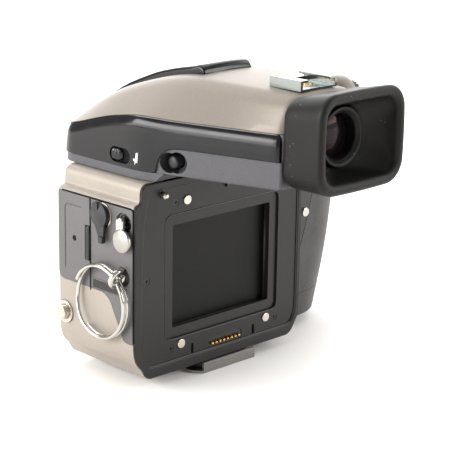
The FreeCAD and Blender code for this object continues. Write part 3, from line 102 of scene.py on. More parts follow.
def colour(hex_code):
    """An sRGB hex colour as the linear values that a shader takes."""
    values = []
    for i in (0, 2, 4):
        v = int(hex_code[i:i + 2], 16) / 255
        values.append(v / 12.92 if v <= 0.04045 else ((v + 0.055) / 1.055) ** 2.4)
    return (*values, 1.0)


def cells(size_mm):
    """Texture scale that gives a pattern this many millimetres across."""
    return 1000.0 / size_mm


def add(tree, kind, inputs=None, **settings):
    """Adds a node; each input takes a value, another node's output, or a node for its result."""
    made = tree.nodes.new("ShaderNode" + kind)
    for name, value in settings.items():
        setattr(made, name, value)
    for name, value in (inputs or {}).items():
        if isinstance(value, bpy.types.Node):
            value = value.outputs[2 if value.bl_idname == "ShaderNodeMix" else 0]
        if isinstance(value, bpy.types.NodeSocket):
            tree.links.new(value, made.inputs[name])
        else:
            made.inputs[name].default_value = value
    return made


def material(name, build, *values):
    """A material whose shader a function builds from places on the object and its values."""
    made = bpy.data.materials.new(name)
    made.use_nodes = True
    tree = made.node_tree
    tree.nodes.clear()
    place = add(tree, "TexCoord").outputs["Object"]
    add(tree, "OutputMaterial", {"Surface": build(tree, place, *values)})
    return made


def lacquer(tree, place, light, dark, metallic, roughness):
    """Metallic lacquer: flakes in a clear coat, with the faint orange peel of a sprayed skin."""
    # Real flakes are far finer; these are coarse enough to show
    flakes = add(tree, "TexNoise", {"Vector": place, "Scale": cells(0.45), "Detail": 1.0})
    drift = add(tree, "TexNoise", {"Vector": place, "Scale": cells(38.0)})
    mixed = add(tree, "Math", {0: flakes, 1: drift}, operation="ADD")
    share = add(tree, "MapRange", {"Value": mixed, "From Min": 0.72, "From Max": 1.28})
    tone = add(tree, "Mix", {0: share, 6: colour(dark), 7: colour(light)}, data_type="RGBA")
    peel = add(tree, "TexNoise", {"Vector": place, "Scale": cells(2.6), "Detail": 1.0})
    skin_bump = add(tree, "Bump", {"Height": peel, "Distance": 0.012 * MM})
    return add(tree, "BsdfPrincipled", {
        "Base Color": tone, "Metallic": metallic, "Roughness": roughness,
        "Coat Weight": 0.12, "Coat Roughness": 0.3, "Normal": skin_bump})


def moulding(tree, place, light, dark, roughness, grain_mm=0.5, grain_depth=0.012, shine=0.5):
    """Satin moulded plastic or enamel: fine spark-eroded grain and faint handling marks."""
    # Real grain is finer; this is coarse enough to show
    grain = add(tree, "TexNoise", {"Vector": place, "Scale": cells(grain_mm), "Detail": 1.5})
    share = add(tree, "MapRange", {"Value": grain, "From Min": 0.3, "From Max": 0.7})
    tone = add(tree, "Mix", {0: share, 6: colour(dark), 7: colour(light)}, data_type="RGBA")
    marks = add(tree, "TexNoise", {"Vector": place, "Scale": cells(14.0), "Detail": 4.0, "Roughness": 0.6})
    polish = add(tree, "MapRange", {"Value": marks, "From Min": 0.35, "From Max": 0.7,
                                    "To Min": roughness - 0.04, "To Max": roughness + 0.07})
    relief = add(tree, "Bump", {"Height": grain, "Distance": grain_depth * MM})
    return add(tree, "BsdfPrincipled", {
        "Base Color": tone, "Roughness": polish, "Specular IOR Level": shine, "Normal": relief})


def metal(tree, place, tone, roughness):
    """Plated or turned metal with the small haze that handling leaves."""
    haze = add(tree, "TexNoise", {"Vector": place, "Scale": cells(7.0), "Detail": 1.5})
    polish = add(tree, "MapRange", {"Value": haze, "From Min": 0.35, "From Max": 0.75,
                                    "To Min": roughness * 0.85, "To Max": roughness * 1.3})
    return add(tree, "BsdfPrincipled", {
        "Base Color": colour(tone), "Metallic": 1.0, "Roughness": polish})


def brushed_steel(tree, place):
    """Brushed stainless steel: long fine lines that stretch the highlights across them."""
    # Real brushing is finer; these lines are coarse enough to show
    stretched = add(tree, "Mapping", {"Vector": place, "Scale": (0.02, 1.0, 1.0)})
    lines = add(tree, "TexNoise", {"Vector": stretched, "Scale": cells(0.35), "Detail": 3.0})
    polish = add(tree, "MapRange", {
        "Value": lines, "From Min": 0.3, "From Max": 0.7, "To Min": 0.24, "To Max": 0.4})
    relief = add(tree, "Bump", {"Height": lines, "Distance": 0.006 * MM})
    return add(tree, "BsdfPrincipled", {
        "Base Color": colour("8C8986"), "Metallic": 1.0, "Roughness": polish, "Normal": relief})


def dusty_rubber(tree, place):
    """Soft moulded rubber: matt, with pale dust caught in its surface."""
    grain = add(tree, "TexNoise", {"Vector": place, "Scale": cells(0.4)})
    share = add(tree, "MapRange", {"Value": grain, "From Min": 0.3, "From Max": 0.7})
    base = add(tree, "Mix", {0: share, 6: colour("0D0C0B"), 7: colour("141312")}, data_type="RGBA")
    spots = add(tree, "TexVoronoi", {"Vector": place, "Scale": cells(2.2)})
    spot = add(tree, "MapRange", {
        "Value": spots, "From Min": 0.07, "From Max": 0.13, "To Min": 1.0, "To Max": 0.0})
    patches = add(tree, "TexNoise", {"Vector": place, "Scale": cells(9.0), "Detail": 3.0})
    patch = add(tree, "MapRange", {
        "Value": patches, "From Min": 0.5, "From Max": 0.66, "To Min": 0.0, "To Max": 0.5})
    dust = add(tree, "Math", {0: spot, 1: patch}, operation="MULTIPLY")
    tone = add(tree, "Mix", {0: dust, 6: base, 7: colour("B4B0AA")}, data_type="RGBA")
    relief = add(tree, "Bump", {"Height": grain, "Distance": 0.02 * MM})
    return add(tree, "BsdfPrincipled", {
        "Base Color": tone, "Roughness": 0.5, "Specular IOR Level": 0.24, "Normal": relief})


def shutter_cloth(tree, place):
    """Rubberised shutter cloth: fine weave, near black, with one or two faint painted crease highlights.
    """
    # Real threads are several times finer; these are coarse enough to show
    across, down = (add(tree, "TexWave", {"Vector": place, "Scale": cells(2.4), "Distortion": 0.4,
                                          "Detail": 1.0}, bands_direction=d) for d in "XZ")
    weave = add(tree, "Math", {0: across, 1: down}, operation="MULTIPLY")
    drift = add(tree, "TexNoise", {"Vector": place, "Scale": cells(16.0), "Detail": 3.0})
    # Painted highlight: pale streaks where creases in the flat leaves would catch the light
    painted_crease_waves = add(tree, "TexWave", {"Vector": place, "Scale": cells(200.0), "Distortion": 2.0,
                                  "Detail": 1.0, "Detail Scale": 0.8}, bands_direction="X")
    crease = add(tree, "MapRange", {
        "Value": painted_crease_waves, "From Min": 0.992, "From Max": 1.0, "To Min": 0.0, "To Max": 0.35})
    base = add(tree, "Mix", {0: drift, 6: colour("080808"), 7: colour("0E0E0D")}, data_type="RGBA")
    tone = add(tree, "Mix", {0: crease, 6: base, 7: colour("4A4845")}, data_type="RGBA")
    relief = add(tree, "Bump", {"Height": weave, "Distance": 0.02 * MM})
    return add(tree, "BsdfPrincipled", {
        "Base Color": tone, "Roughness": 0.5, "Specular IOR Level": 0.2, "Normal": relief})


def coated_glass(tree, place):
    """Coated eye lens: dark, with a paler disc painted high and to the left as a reflection."""
    painted_reflection_x, painted_reflection_z = -2.2, 115.3
    here = add(tree, "Mapping", {"Vector": place, "Location": (-painted_reflection_x * MM, 0.0, -painted_reflection_z * MM),
                                 "Scale": (1.0, 0.0, 1.0)})
    # Distance from the middle of the painted reflection; inside it the lens is paler
    inner = add(tree, "VectorMath", {0: here}, operation="LENGTH").outputs["Value"]
    edge = add(tree, "MapRange", {"Value": inner, "From Min": 0.0042, "From Max": 0.0052})
    tone = add(tree, "Mix", {0: edge, 6: colour("26252A"), 7: colour("0D0A0B")}, data_type="RGBA")
    return add(tree, "BsdfPrincipled", {
        "Base Color": tone, "Roughness": 0.06,
        "Specular IOR Level": 0.14, "Specular Tint": colour("E09A90")})


def clear_pane(tree, place, tone, roughness):
    """Glass or clear acrylic over something dark."""
    drift = add(tree, "TexNoise", {"Vector": place, "Scale": cells(6.0)})
    polish = add(tree, "MapRange", {"Value": drift, "From Min": 0.3, "From Max": 0.7,
                                    "To Min": roughness, "To Max": roughness + 0.05})
    return add(tree, "BsdfPrincipled", {
        "Base Color": colour(tone), "Roughness": polish, "Coat Weight": 1.0, "Coat Roughness": 0.02})


def white_paper(tree, place):
    """Paper floor: very pale, with the faintest drift of tone."""
    drift = add(tree, "TexNoise", {"Vector": place, "Scale": cells(300.0)})
    tone = add(tree, "Mix", {0: drift, 6: colour("F6F3F0"), 7: colour("F9F7F5")}, data_type="RGBA")
    return add(tree, "BsdfPrincipled", {"Base Color": tone, "Roughness": 0.9})


# Lacquers: light and dark tone, share of metal, roughness
LACQUERS = {
    # Sprayed metal: a warm pale sheen that spreads over the curves
    "champagne lacquer": ("9E958A", "928A80", 0.3, 0.5),
    # The same paint, darkened on the viewfinder as painted shade
    "champagne lacquer with painted shade": ("837A70", "797168", 0.3, 0.5),
    # Painted panel: even grey, one broad soft highlight
    "warm grey lacquer": ("5C5A5A", "545252", 0.15, 0.44),
    # Painted strip: dark and nearly dull
    "dark grey lacquer": ("2F2D2C", "292727", 0.05, 0.55),
}
# Mouldings: light and dark tone, roughness, then grain in millimetres, its depth and the shine
MOULDINGS = {
    # Polished black plastic: long clear highlights
    "dark satin moulding": ("0C0C0E", "08080A", 0.18, 0.5, 0.005, 0.36),
    # Grey plastic: a soft even sheen
    "grey moulding": ("49484B", "3F3E42", 0.42),
    # Enamelled metal: black with a fine satin speckle
    "black enamel": ("211F1E", "191817", 0.34, 0.6, 0.012, 0.34),
    # Plain black plastic: only its edges catch the light
    "black moulding": ("1A1A1A", "131313", 0.36),
    # Soft rubber: matt, with a blurred highlight; also painted shade in the catch's scoop
    "charcoal rubber and painted shade": ("201F21", "171718", 0.45, 0.4, 0.02),
    # Painted shade for the bottoms of seams and slots: black without reflections
    "painted shade black": ("0A0A0A", "060606", 0.6, 0.8, 0.01, 0.12),
    # Glossy black plastic: small sharp highlights
    "gloss black": ("0E0E0F", "080809", 0.16, 1.2, 0.003),
    # Textured grip: coarse grain, dull
    "grip skin": ("3D3B3A", "323030", 0.5, 1.1, 0.05),
    # Printing ink: flat white
    "white print": ("F4F4F2", "E8E8E6", 0.5),
}
# Metals: tone and roughness
METALS = {
    # Polished nickel plating: crisp reflections
    "bright nickel": ("C0BDB6", 0.12),
    # Rubbed nickel plating: one broad highlight
    "satin nickel": ("AAA6A0", 0.32),
    # Steel off the lathe: bright, slightly blurred
    "turned steel": ("C9C3B8", 0.26),
    # Chromed shoe rails: cool and a little dull
    "shoe chrome": ("868B88", 0.2),
    # Gold-plated contacts: small warm glints
    "gold plate": ("E2B35E", 0.22),
    # Front-silvered glass: a plain mirror
    "silvered glass": ("E4E6E6", 0.02),
    # Nameplate's metal rim: a soft silver line
    "silver rim": ("9A958E", 0.32),
}
# Panes: tone and roughness under a clear gloss
PANES = {
    # Ground focusing glass: pale and blurred
    "ground glass": ("9A9C98", 0.4),
    # Display's pane: dark and clear
    "display pane": ("3E423A", 0.08),
    # Dark glass: deep black, sharp reflections
    "black glass": ("101012", 0.05),
}

FINISHES = {
    "brushed steel": material("brushed stainless steel", brushed_steel),
    "eyecup rubber": material("moulded eyecup rubber", dusty_rubber),
    "shutter cloth": material("rubberised shutter cloth", shutter_cloth),
    "coated glass": material("coated eyepiece glass", coated_glass),
}
for build, kinds in ((lacquer, LACQUERS), (moulding, MOULDINGS), (metal, METALS),
                     (clear_pane, PANES)):
    for name, values in kinds.items():
        FINISHES[name] = material(name, build, *values)


# Carried-over parts by finish, with the rounding of each one's edges in millimetres

CARRIED = {
    "black enamel": {"rear_frame": 0.85, "rear_plate": 0.3, "front_plate": 0.4, "top_plate": 0.3},
    "black moulding": {
        "contact_strip": 0.15, "mirror_box": 0.2, "mirror_carrier": 0.2, "tripod_boss": 0.3,
        "power_button": 0.2, "focus_mode_button": 0.2, "drive_button": 0.2,
        "mirror_up_button": 0.2, "stop_down_button": 0.2, "front_control_wheel": 0.15,
        "rear_control_wheel": 0.15, "dioptre_wheel": 0.2},
    "turned steel": {"seating_pads": 0.3, "lens_lock_pin": 0, "release_bezel": 0.2,
                     "release_button": 0.3, "shutter_button": 0.25},
    "gold plate": {"contact_pins": 0, "lens_contact_pins": 0, "shoe_contacts": 0.1},
    "bright nickel": {"bayonet_ring": 0.3, "sync_socket": 0.2, "right_strap_lug": 0.3},
    "champagne lacquer": {"left_cover": 0.5, "body_shell": 0.4},
    "warm grey lacquer": {"left_panel": 0.45, "accessory_hatch": 0.25},
    "dark grey lacquer": {"grip_side_strip": 0.3},
    "grip skin": {"grip_housing": 0.6, "battery_grip": 0.5},
    "brushed steel": {"base_plate": 0.25},
    "silver rim": {"nameplate": 0.1},
    "shoe chrome": {"hot_shoe": 0.15},
    "eyecup rubber": {"eyepiece_ring": 0.3},
    "ground glass": {"focusing_screen": 0.2},
    "silvered glass": {"mirror_glass": 0.1},
    "display pane": {"lcd_panel": 0.15},
    "black glass": {"flash_window": 0.1, "finder_prism": 0.3},
}


def join_group():
    """Joins a part's loose triangles and shades it smooth, ahead of the rounding of its edges."""
    group = bpy.data.node_groups.new("join and smooth", "GeometryNodeTree")
    for way in ("INPUT", "OUTPUT"):
        group.interface.new_socket("Geometry", in_out=way, socket_type="NodeSocketGeometry")
    start = group.nodes.new("NodeGroupInput")
    merge = group.nodes.new("GeometryNodeMergeByDistance")
    merge.inputs["Distance"].default_value = JOIN_DISTANCE
    shade = group.nodes.new("GeometryNodeSetShadeSmooth")
    end = group.nodes.new("NodeGroupOutput")
    group.links.new(start.outputs[0], merge.inputs["Geometry"])
    group.links.new(merge.outputs["Geometry"], shade.inputs["Geometry"])
    group.links.new(shade.outputs["Geometry"], end.inputs[0])
    return group


JOIN = join_group()
FLAT_ANGLE = 0.6
CARRIED_EDGE_ANGLE = 28.0
CUT_EDGE_ANGLE = 34.0


def bevelled(made, width_mm, segments, angle_deg):
    """Rounds an object's edges past this angle and evens out the shading of its faces."""
    edge = made.modifiers.new("edges", "BEVEL")
    edge.width = width_mm * MM
    edge.segments = segments
    edge.limit_method = "ANGLE"
    edge.angle_limit = radians(angle_deg)
    made.modifiers.new("shading", "WEIGHTED_NORMAL").weight = 50
    return edge


def dress(part, finish, width_mm):
    """Gives a carried-over part its finish and rounds its sharp edges."""
    for slot in part.material_slots:
        slot.material = FINISHES[finish]
    if width_mm:
        part.modifiers.new("join", "NODES").node_group = JOIN
        flat = part.modifiers.new("flat faces", "DECIMATE")
        flat.decimate_type = "DISSOLVE"
        flat.angle_limit = radians(FLAT_ANGLE)
        bevelled(part, width_mm, 3, CARRIED_EDGE_ANGLE).miter_outer = "MITER_ARC"


# Tools for the new pieces

def eased(stations, y):
    """Reads a size off (place, size) stations along a smooth curve through all of them."""
    last = len(stations) - 1
    if y <= stations[0][0]:
        return stations[0][1]
    if y >= stations[last][0]:
        return stations[last][1]
    i = max(k for k in range(last) if stations[k][0] <= y)

    def slope(k):
        a, b = stations[max(k - 1, 0)], stations[min(k + 1, last)]
        return (b[1] - a[1]) / (b[0] - a[0])

    span = stations[i + 1][0] - stations[i][0]
    t = (y - stations[i][0]) / span
    h = t * t * (3 - 2 * t)
    bend = slope(i) * t * (1 - t) ** 2 - slope(i + 1) * t * t * (1 - t)
    return stations[i][1] * (1 - h) + stations[i + 1][1] * h + bend * span


def neighbours(ring, closed):
    """Pairs of points that follow one another along an outline."""
    return zip(ring, ring[1:] + ring[:1] if closed else ring[1:])


def first_ring(shape, places, closed=True):
    """Draws the outline that a lofted skin starts from."""
    ring = [shape.verts.new(at(*p)) for p in places]
    for pair in neighbours(ring, closed):
        shape.edges.new(pair)
    return ring


def next_ring(shape, ring, places, closed=True):
    """Extrudes the last outline and moves the new one to its places."""
    edges = [shape.edges.get(pair) for pair in neighbours(ring, closed)]
    made = bmesh.ops.extrude_edge_only(shape, edges=edges)["geom"]
    new = {v for v in made if isinstance(v, bmesh.types.BMVert)}
    after = [next(e.other_vert(v) for e in v.link_edges if e.other_vert(v) in new) for v in ring]
    for v, p in zip(after, places):
        v.co = at(*p)
    return after


def skin(rings, closed=True, caps=(False, False)):
    """Lofts a skin through outlines that all have the same number of points."""
    shape = bmesh.new()
    ring = first_ring(shape, rings[0], closed)
    if caps[0]:
        bmesh.ops.contextual_create(shape, geom=ring)
    for places in rings[1:]:
        ring = next_ring(shape, ring, places, closed)
    if caps[1]:
        bmesh.ops.contextual_create(shape, geom=ring)
    bmesh.ops.recalc_face_normals(shape, faces=shape.faces)
    return shape


def sharp_past(shape, angle_deg):
    """Shades the faces smooth and keeps the edges past this angle sharp."""
    for face in shape.faces:
        face.smooth = True
    for edge in shape.edges:
        if len(edge.link_faces) == 2 and edge.calc_face_angle(0) > radians(angle_deg):
            edge.smooth = False


def mesh_of(name, shape):
    """Turns a shape into a mesh of this name."""
    mesh = bpy.data.meshes.new(name)
    shape.to_mesh(mesh)
    shape.free()
    return mesh


def baked(made, *others):
    """The shape that an object has with its modifiers; it and the others are removed."""
    graph = bpy.context.evaluated_depsgraph_get()
    mesh = bpy.data.meshes.new_from_object(made.evaluated_get(graph))
    for source in (made, *others):
        bpy.data.objects.remove(source)
    shape = bmesh.new()
    shape.from_mesh(mesh)
    bpy.data.meshes.remove(mesh)
    return shape


def piece(name, shape, finish, body, replaces=(), sharp_deg=35.0):
    """Makes a finished piece of a shape, on its body, in place of the parts that it stands for."""
    sharp_past(shape, sharp_deg)
    made = linked(name, mesh_of(name, shape))
    made.data.materials.append(FINISHES[finish])
    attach(made, body)
    if replaces:
        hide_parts(*replaces)
    return made


def thicken(made, depth_mm):
    """Gives an open skin a wall of this depth on its inner side."""
    wall = made.modifiers.new("wall", "SOLIDIFY")
    wall.thickness = depth_mm * MM
    wall.offset = -1.0


def softened(shape, width_mm, segments):
    """Rounds all the edges of a simple form."""
    bmesh.ops.bevel(shape, geom=shape.edges[:], offset=width_mm * MM, offset_type="OFFSET",
                    segments=segments, profile=0.5, affect="EDGES", material=-1)
    return shape


def rounded_rectangle(half, low, top, radius, steps, sides, bulge=0.0):
    """Outline of a rounded rectangle as (x, z), from the right end of its foot and up."""
    middle = (low + top) / 2
    tall = (top - low) / 2

    def corner_place(corner, along):
        a = radians(-90 + 90 * corner) + along
        sx = 1 if corner % 4 in (0, 1) else -1
        sz = 1 if corner % 4 in (1, 2) else -1
        return (sx * (half - radius) + radius * cos(a),
                middle + sz * (tall - radius) + radius * sin(a))

    points = []
    for corner in range(4):
        points += [corner_place(corner, radians(90) * i / steps) for i in range(steps + 1)]
        a = points[-1]
        b = corner_place(corner + 1, 0.0)
        for i in range(1, sides):
            t = i / sides
            swell = bulge * 4 * t * (1 - t)
            x = a[0] + (b[0] - a[0]) * t
            z = a[1] + (b[1] - a[1]) * t
            if abs(b[0] - a[0]) < abs(b[1] - a[1]):
                x += copysign(swell, x)
            else:
                z += copysign(swell, z - middle)
            points.append((x, z))
    return points


# Viewfinder: upper shell

FINDER_HALF = 44.5
FINDER_REAR_HALF = 25.2
FINDER_TAPER = 8.0
FINDER_REAR = -54.5
FINDER_FRONT = 60.0
NOSE = 11.0
BEND = 6.0

TOP_LINE = [(-56, 126.2), (-40, 126.7), (-20, 127.2), (-4, 127.5), (8, 126.5), (18, 124.5),
            (28, 121.5), (38, 117.8), (47, 113.2), (54, 108.6), (61, 102.6)]
CREASE_HALF = [(-56, 17.8), (-40, 19.2), (-20, 21.2), (-4, 23.2), (8, 25.4), (18, 27.0),
               (28, 28.4), (38, 29.0), (47, 28.4), (54, 27.0), (61, 25.0)]
RIDGE_LINE = [(-62, 109.8), (-8, 110.0), (8, 110.4), (18, 109.1), (28, 107.1), (37, 104.6),
              (48, 101.4), (62, 98.4)]
FLASH_LINE = [(-4, 130.9), (2, 130.7), (8.3, 129.5), (14.4, 128.3), (20.5, 126.8),
              (26.7, 125.1), (33.1, 122.7), (39.5, 120.1), (46, 117.2), (52.6, 113.4),
              (58.6, 109.4)]
FLASH_DEPTH = 5.6
FLASH_HINGE = (3.0, 127.3)
FLASH_REAR = -6.0
FLASH_LENGTH = 66.5
FLASH_REAR_HALF = 14.0
FLASH_SPREAD = 3.0
SEAM_RISE = 2.0
SEAM_INSET = 2.1
WELL_START = -0.75
WELL_GAP = 0.35
SHELL_WALL = 1.2
WING_WALL = 1.9


def finder_half(y):
    """Half width of the viewfinder: straight taper, eased bend, straight sides."""
    slope = (FINDER_HALF - FINDER_REAR_HALF) / (FINDER_TAPER - FINDER_REAR)
    behind = FINDER_TAPER - y
    if behind <= -BEND:
        return FINDER_HALF
    if behind < BEND:
        return FINDER_HALF - slope * (behind + BEND) ** 2 / (4 * BEND)
    return FINDER_HALF - slope * behind


def nosed_half(y, inset):
    """Half width in plan with the rounding of the nose."""
    half = finder_half(y) - inset
    start = FINDER_FRONT - NOSE
    if y <= start:
        return half
    radius = NOSE - inset
    along = min(y - start, radius)
    return half - radius + sqrt(max(radius ** 2 - along ** 2, 0.0))


def flash_half(y):
    """Half width of the flash head, which widens towards the nose."""
    return FLASH_REAR_HALF + FLASH_SPREAD * (y - FLASH_REAR) / FLASH_LENGTH


def dome_ring(y, inset):
    """One outline of the upper shell: flanks, rounded creases, crowned top, and the flash's well."""
    top = eased(TOP_LINE, y) - inset
    seam = eased(RIDGE_LINE, y) + SEAM_RISE
    seam_half = nosed_half(y, SEAM_INSET) - inset
    crease = min(eased(CREASE_HALF, y) - inset, seam_half - 5.0)
    shoulder = max(top - 1.0, seam + 1.0)

    def crown(x):
        return top - 1.0 * (x / crease) ** 2

    wide = flash_half(y) + WELL_GAP
    floor = min(eased(FLASH_LINE, max(y, 3.0)) - FLASH_DEPTH - WELL_GAP, crown(wide) - 0.05)
    half = [(x, floor if y >= WELL_START else crown(x)) for x in (0, wide * 0.5, wide - 0.05)]
    half.append((wide, crown(wide)))
    cut_in = 5.6
    x0 = crease - cut_in * 0.9
    for t in (0.35, 0.7, 1.0):
        x = wide + (x0 - wide) * t
        half.append((x, crown(x)))
    a = Vector((x0, crown(x0)))
    b = Vector((crease, shoulder))
    down = Vector((seam_half - crease, seam - shoulder))
    reach = min(cut_in / max(down.length, 0.1), 0.6)
    c = b + down * reach
    for i in range(1, 10):
        t = i / 9
        p = a * (1 - t) ** 2 + b * 2 * t * (1 - t) + c * t ** 2
        half.append((p.x, p.y))
    for t in (0.33, 0.66, 1.0):
        p = c.lerp(Vector((seam_half, seam)), t)
        half.append((p.x, p.y))
    half.append((seam_half - 0.5, seam - 2.5))
    return [(-x, y, z) for x, z in reversed(half[1:])] + [(x, y, z) for x, z in half]


def dome():
    """Upper shell from its rounded rear edge to its nose, with the flash's well in its front."""
    roll = 3.4
    stations = []
    for i in range(6):
        a = radians(90 * i / 5)
        stations.append((FINDER_REAR + roll * (1 - cos(a)), roll * (1 - sin(a))))
    stations += [(y, 0) for y in (
        -49, -47, -43, -38, -33, -28, -23, -18, -13, -8, -4, -1.5, -0.78, WELL_START, 1, 4, 8, 12,
        16, 20, 24, 28, 32, 36, 40, 44, 47, 49, 51, 53, 54.4, 55.4, 56.2)]
    stations += [(56.7, 0.1), (57.1, 0.3), (57.45, 0.65), (57.65, 1.2)]
    rings = [dome_ring(y, inset) for y, inset in stations]
    shape = skin(rings, closed=False, caps=(False, True))
    # The shell's finish is the body's paint darkened: painted shade
    made = piece("finder_upper_shell", shape, "champagne lacquer with painted shade", "viewfinder",
                 ["finder_top_shell"], 40)
    thicken(made, SHELL_WALL)


def dioptre_boss():
    """Rounded hump on the right rear of the shell, beside the eyepiece."""
    radius = 8.2
    profile = [(17.0, radius - 3.4), (18.0, radius - 1.6), (19.4, radius - 0.5), (21.0, radius),
               (24.4, radius), (26.2, radius - 0.3), (27.6, radius - 1.3), (28.3, radius - 2.8),
               (28.5, radius - 4.6)]
    # Same darkened paint as the shell: painted shade
    piece("dioptre_boss", turned(profile, (0.0, -41.0, 119.8), 36), "champagne lacquer with painted shade",
          "viewfinder")


# Viewfinder: side wings

FOOT_CURVE = [(-80, 100.6), (-10.7, 100.6), (-8.6, 100.4), (-6.2, 99.6), (-4.2, 98.2),
              (-2.8, 96.4), (-1.8, 94.3), (-1.2, 91.8), (-0.8, 90.1), (0.2, 89.4), (80, 89.6)]


def foot_height(y):
    """Height of the wing's lower edge, with its sweep round the catch."""
    for (y0, a), (y1, b) in zip(FOOT_CURVE, FOOT_CURVE[1:]):
        if y <= y1:
            return a + (b - a) * (y - y0) / (y1 - y0)
    return FOOT_CURVE[-1][1]


def wing_path():
    """Plan of the wing's outer face as (x, y, outward direction), from the rear to the nose."""
    path = []
    stations = [-54.5, -54.2, -53.6, -52.6, -50, -45, -40, -34, -28, -22, -17, -14, -12.4, -11.6,
                -10.7, -9.7, -8.6, -7.6, -6.2, -5.2, -4.2, -3.5, -2.8, -2.3, -1.8, -1.5, -1.2,
                -0.8, 0.2, 2, 4, 6, 8, 10, 12, 15, 18, 22, 26, 30, 34, 38, 42, 46, 49]
    step = 0.2
    for y in stations:
        slope = (finder_half(y + step) - finder_half(y - step)) / (2 * step)
        across = Vector((-1.0, -slope)).normalized().x
        path.append((-finder_half(y), y, Vector((across, -slope)).normalized()))
    middle = Vector((-FINDER_HALF + NOSE, FINDER_FRONT - NOSE))
    for i in range(1, 15):
        a = radians(90 * i / 14)
        away = Vector((-cos(a), sin(a)))
        p = middle + away * NOSE
        path.append((p.x, p.y, away))
    for x in (-26, -18, -10, -0.12):
        path.append((x, FINDER_FRONT, Vector((0, 1))))
    return path


def wing_rows(y, away):
    """Heights and insets of the wing's outer face, foot first, up to the seam with the shell."""
    ridge = eased(RIDGE_LINE, y)
    foot = foot_height(y)
    nose = max(0.0, away.y)
    tall = ridge - 2.2 - foot
    rows = [(0.25, foot), (0.0, foot + 0.25), (0.02 + 0.2 * nose, foot + 0.3 * tall),
            (0.08 + 0.45 * nose, foot + 0.6 * tall), (0.18 + 0.65 * nose, foot + 0.85 * tall),
            (0.26 + 0.7 * nose, ridge - 2.6), (0.39 + 0.7 * nose, ridge - 1.8),
            (0.61 + 0.65 * nose, ridge - 1.0), (0.94 + 0.55 * nose, ridge - 0.2),
            (1.33 + 0.4 * nose, ridge + 0.5), (1.7 + 0.2 * nose, ridge + 1.05),
            (1.92 + 0.05 * nose, ridge + 1.3), (1.97 + 0.03 * nose, ridge + 1.9)]
    roll = 1.8
    turn = (FINDER_REAR + roll - y) / roll
    if turn > 0:
        rows = [(d + roll * (1 - sqrt(max(1 - turn ** 2, 0.0))), z) for d, z in rows]
    return rows


def side_wing(side):
    """The left (-1) or right (1) wing, with the slider's slot cut into the left one."""
    name = "left" if side < 0 else "right"
    rings = []
    for x, y, away in wing_path():
        places = [(Vector((x, y)) - away * inset, z) for inset, z in wing_rows(y, away)]
        rings.append([(-side * p.x, p.y, z) for p, z in places])
    shape = skin(rings, closed=False)
    flank = at(side * 44, 20, 98)
    face = min(shape.faces, key=lambda f: (f.calc_center_median() - flank).length)
    if face.normal.x * side < 0:
        bmesh.ops.reverse_faces(shape, faces=shape.faces)
    if side < 0:
        shape = carved(shape, cuts=[slider_slot()], wall=WING_WALL)
        # The slot's sides lie between the wing's two faces, and are painted black as shade
        for face in shape.faces:
            spot = face.calc_center_median() / MM - BODY_ORIGIN
            around = 11 < spot.y < 25 and 90.5 < spot.z < 98
            face.material_index = int(around and -44.05 < spot.x < -42.75)
    made = piece(name + "_side_wing", shape, "dark satin moulding", "viewfinder",
                 [name + "_wing"], 40)
    if side > 0:
        thicken(made, WING_WALL)
    else:
        # Painted shade: the black finish of the slot's sides
        made.data.materials.append(FINISHES["painted shade black"])


# Viewfinder: flash head

def flash_ring(y, top, low, half, round_top=1.5):
    """Outline across the flash head: flat underside, crowned top, rounded shoulders."""
    middle = (top + low) / 2
    crown = 0.35
    ring = []
    for x, z in rounded_rectangle(half, low, top, min(round_top, (top - low) / 2 - 0.05), 5, 4):
        if z > middle:
            z = z + crown * (1 - (x / half) ** 2) - crown
        ring.append((x, y, z))
    return ring


def flash_head():
    """Flash head: a thin curved lid that ends in a rounded roll over its hinge."""
    y0, z0 = FLASH_HINGE
    radius = 3.4
    rings = []
    for turn in (172, 150, 125, 100, 80):
        a = radians(turn)
        y = y0 + radius * cos(a)
        tall = radius * sin(a)
        half = 13.55 if turn > 160 else 14.05
        rings.append(flash_ring(y, z0 + tall, z0 - tall, half, 1.4))
    for y in (5.4, 8, 12, 16, 20, 24, 28, 32, 36, 40, 44, 48, 51, 53.5, 55.2, 56.1, 56.5):
        top = eased(FLASH_LINE, y)
        low = top - FLASH_DEPTH
        if y < 8:
            low -= (8 - y) * 0.35
        half = flash_half(y)
        if y > 55:
            ease = (y - 55) / 1.5
            top -= 1.1 * ease ** 2
            low += 0.5 * ease ** 2
        rings.append(flash_ring(y, top, low, half))
    shape = skin(rings, caps=(True, True))
    piece("flash_lid", shape, "dark satin moulding", "flash", ["flash_head"], 40)


# Viewfinder: eyecup

EYE_HEIGHT = 109.2


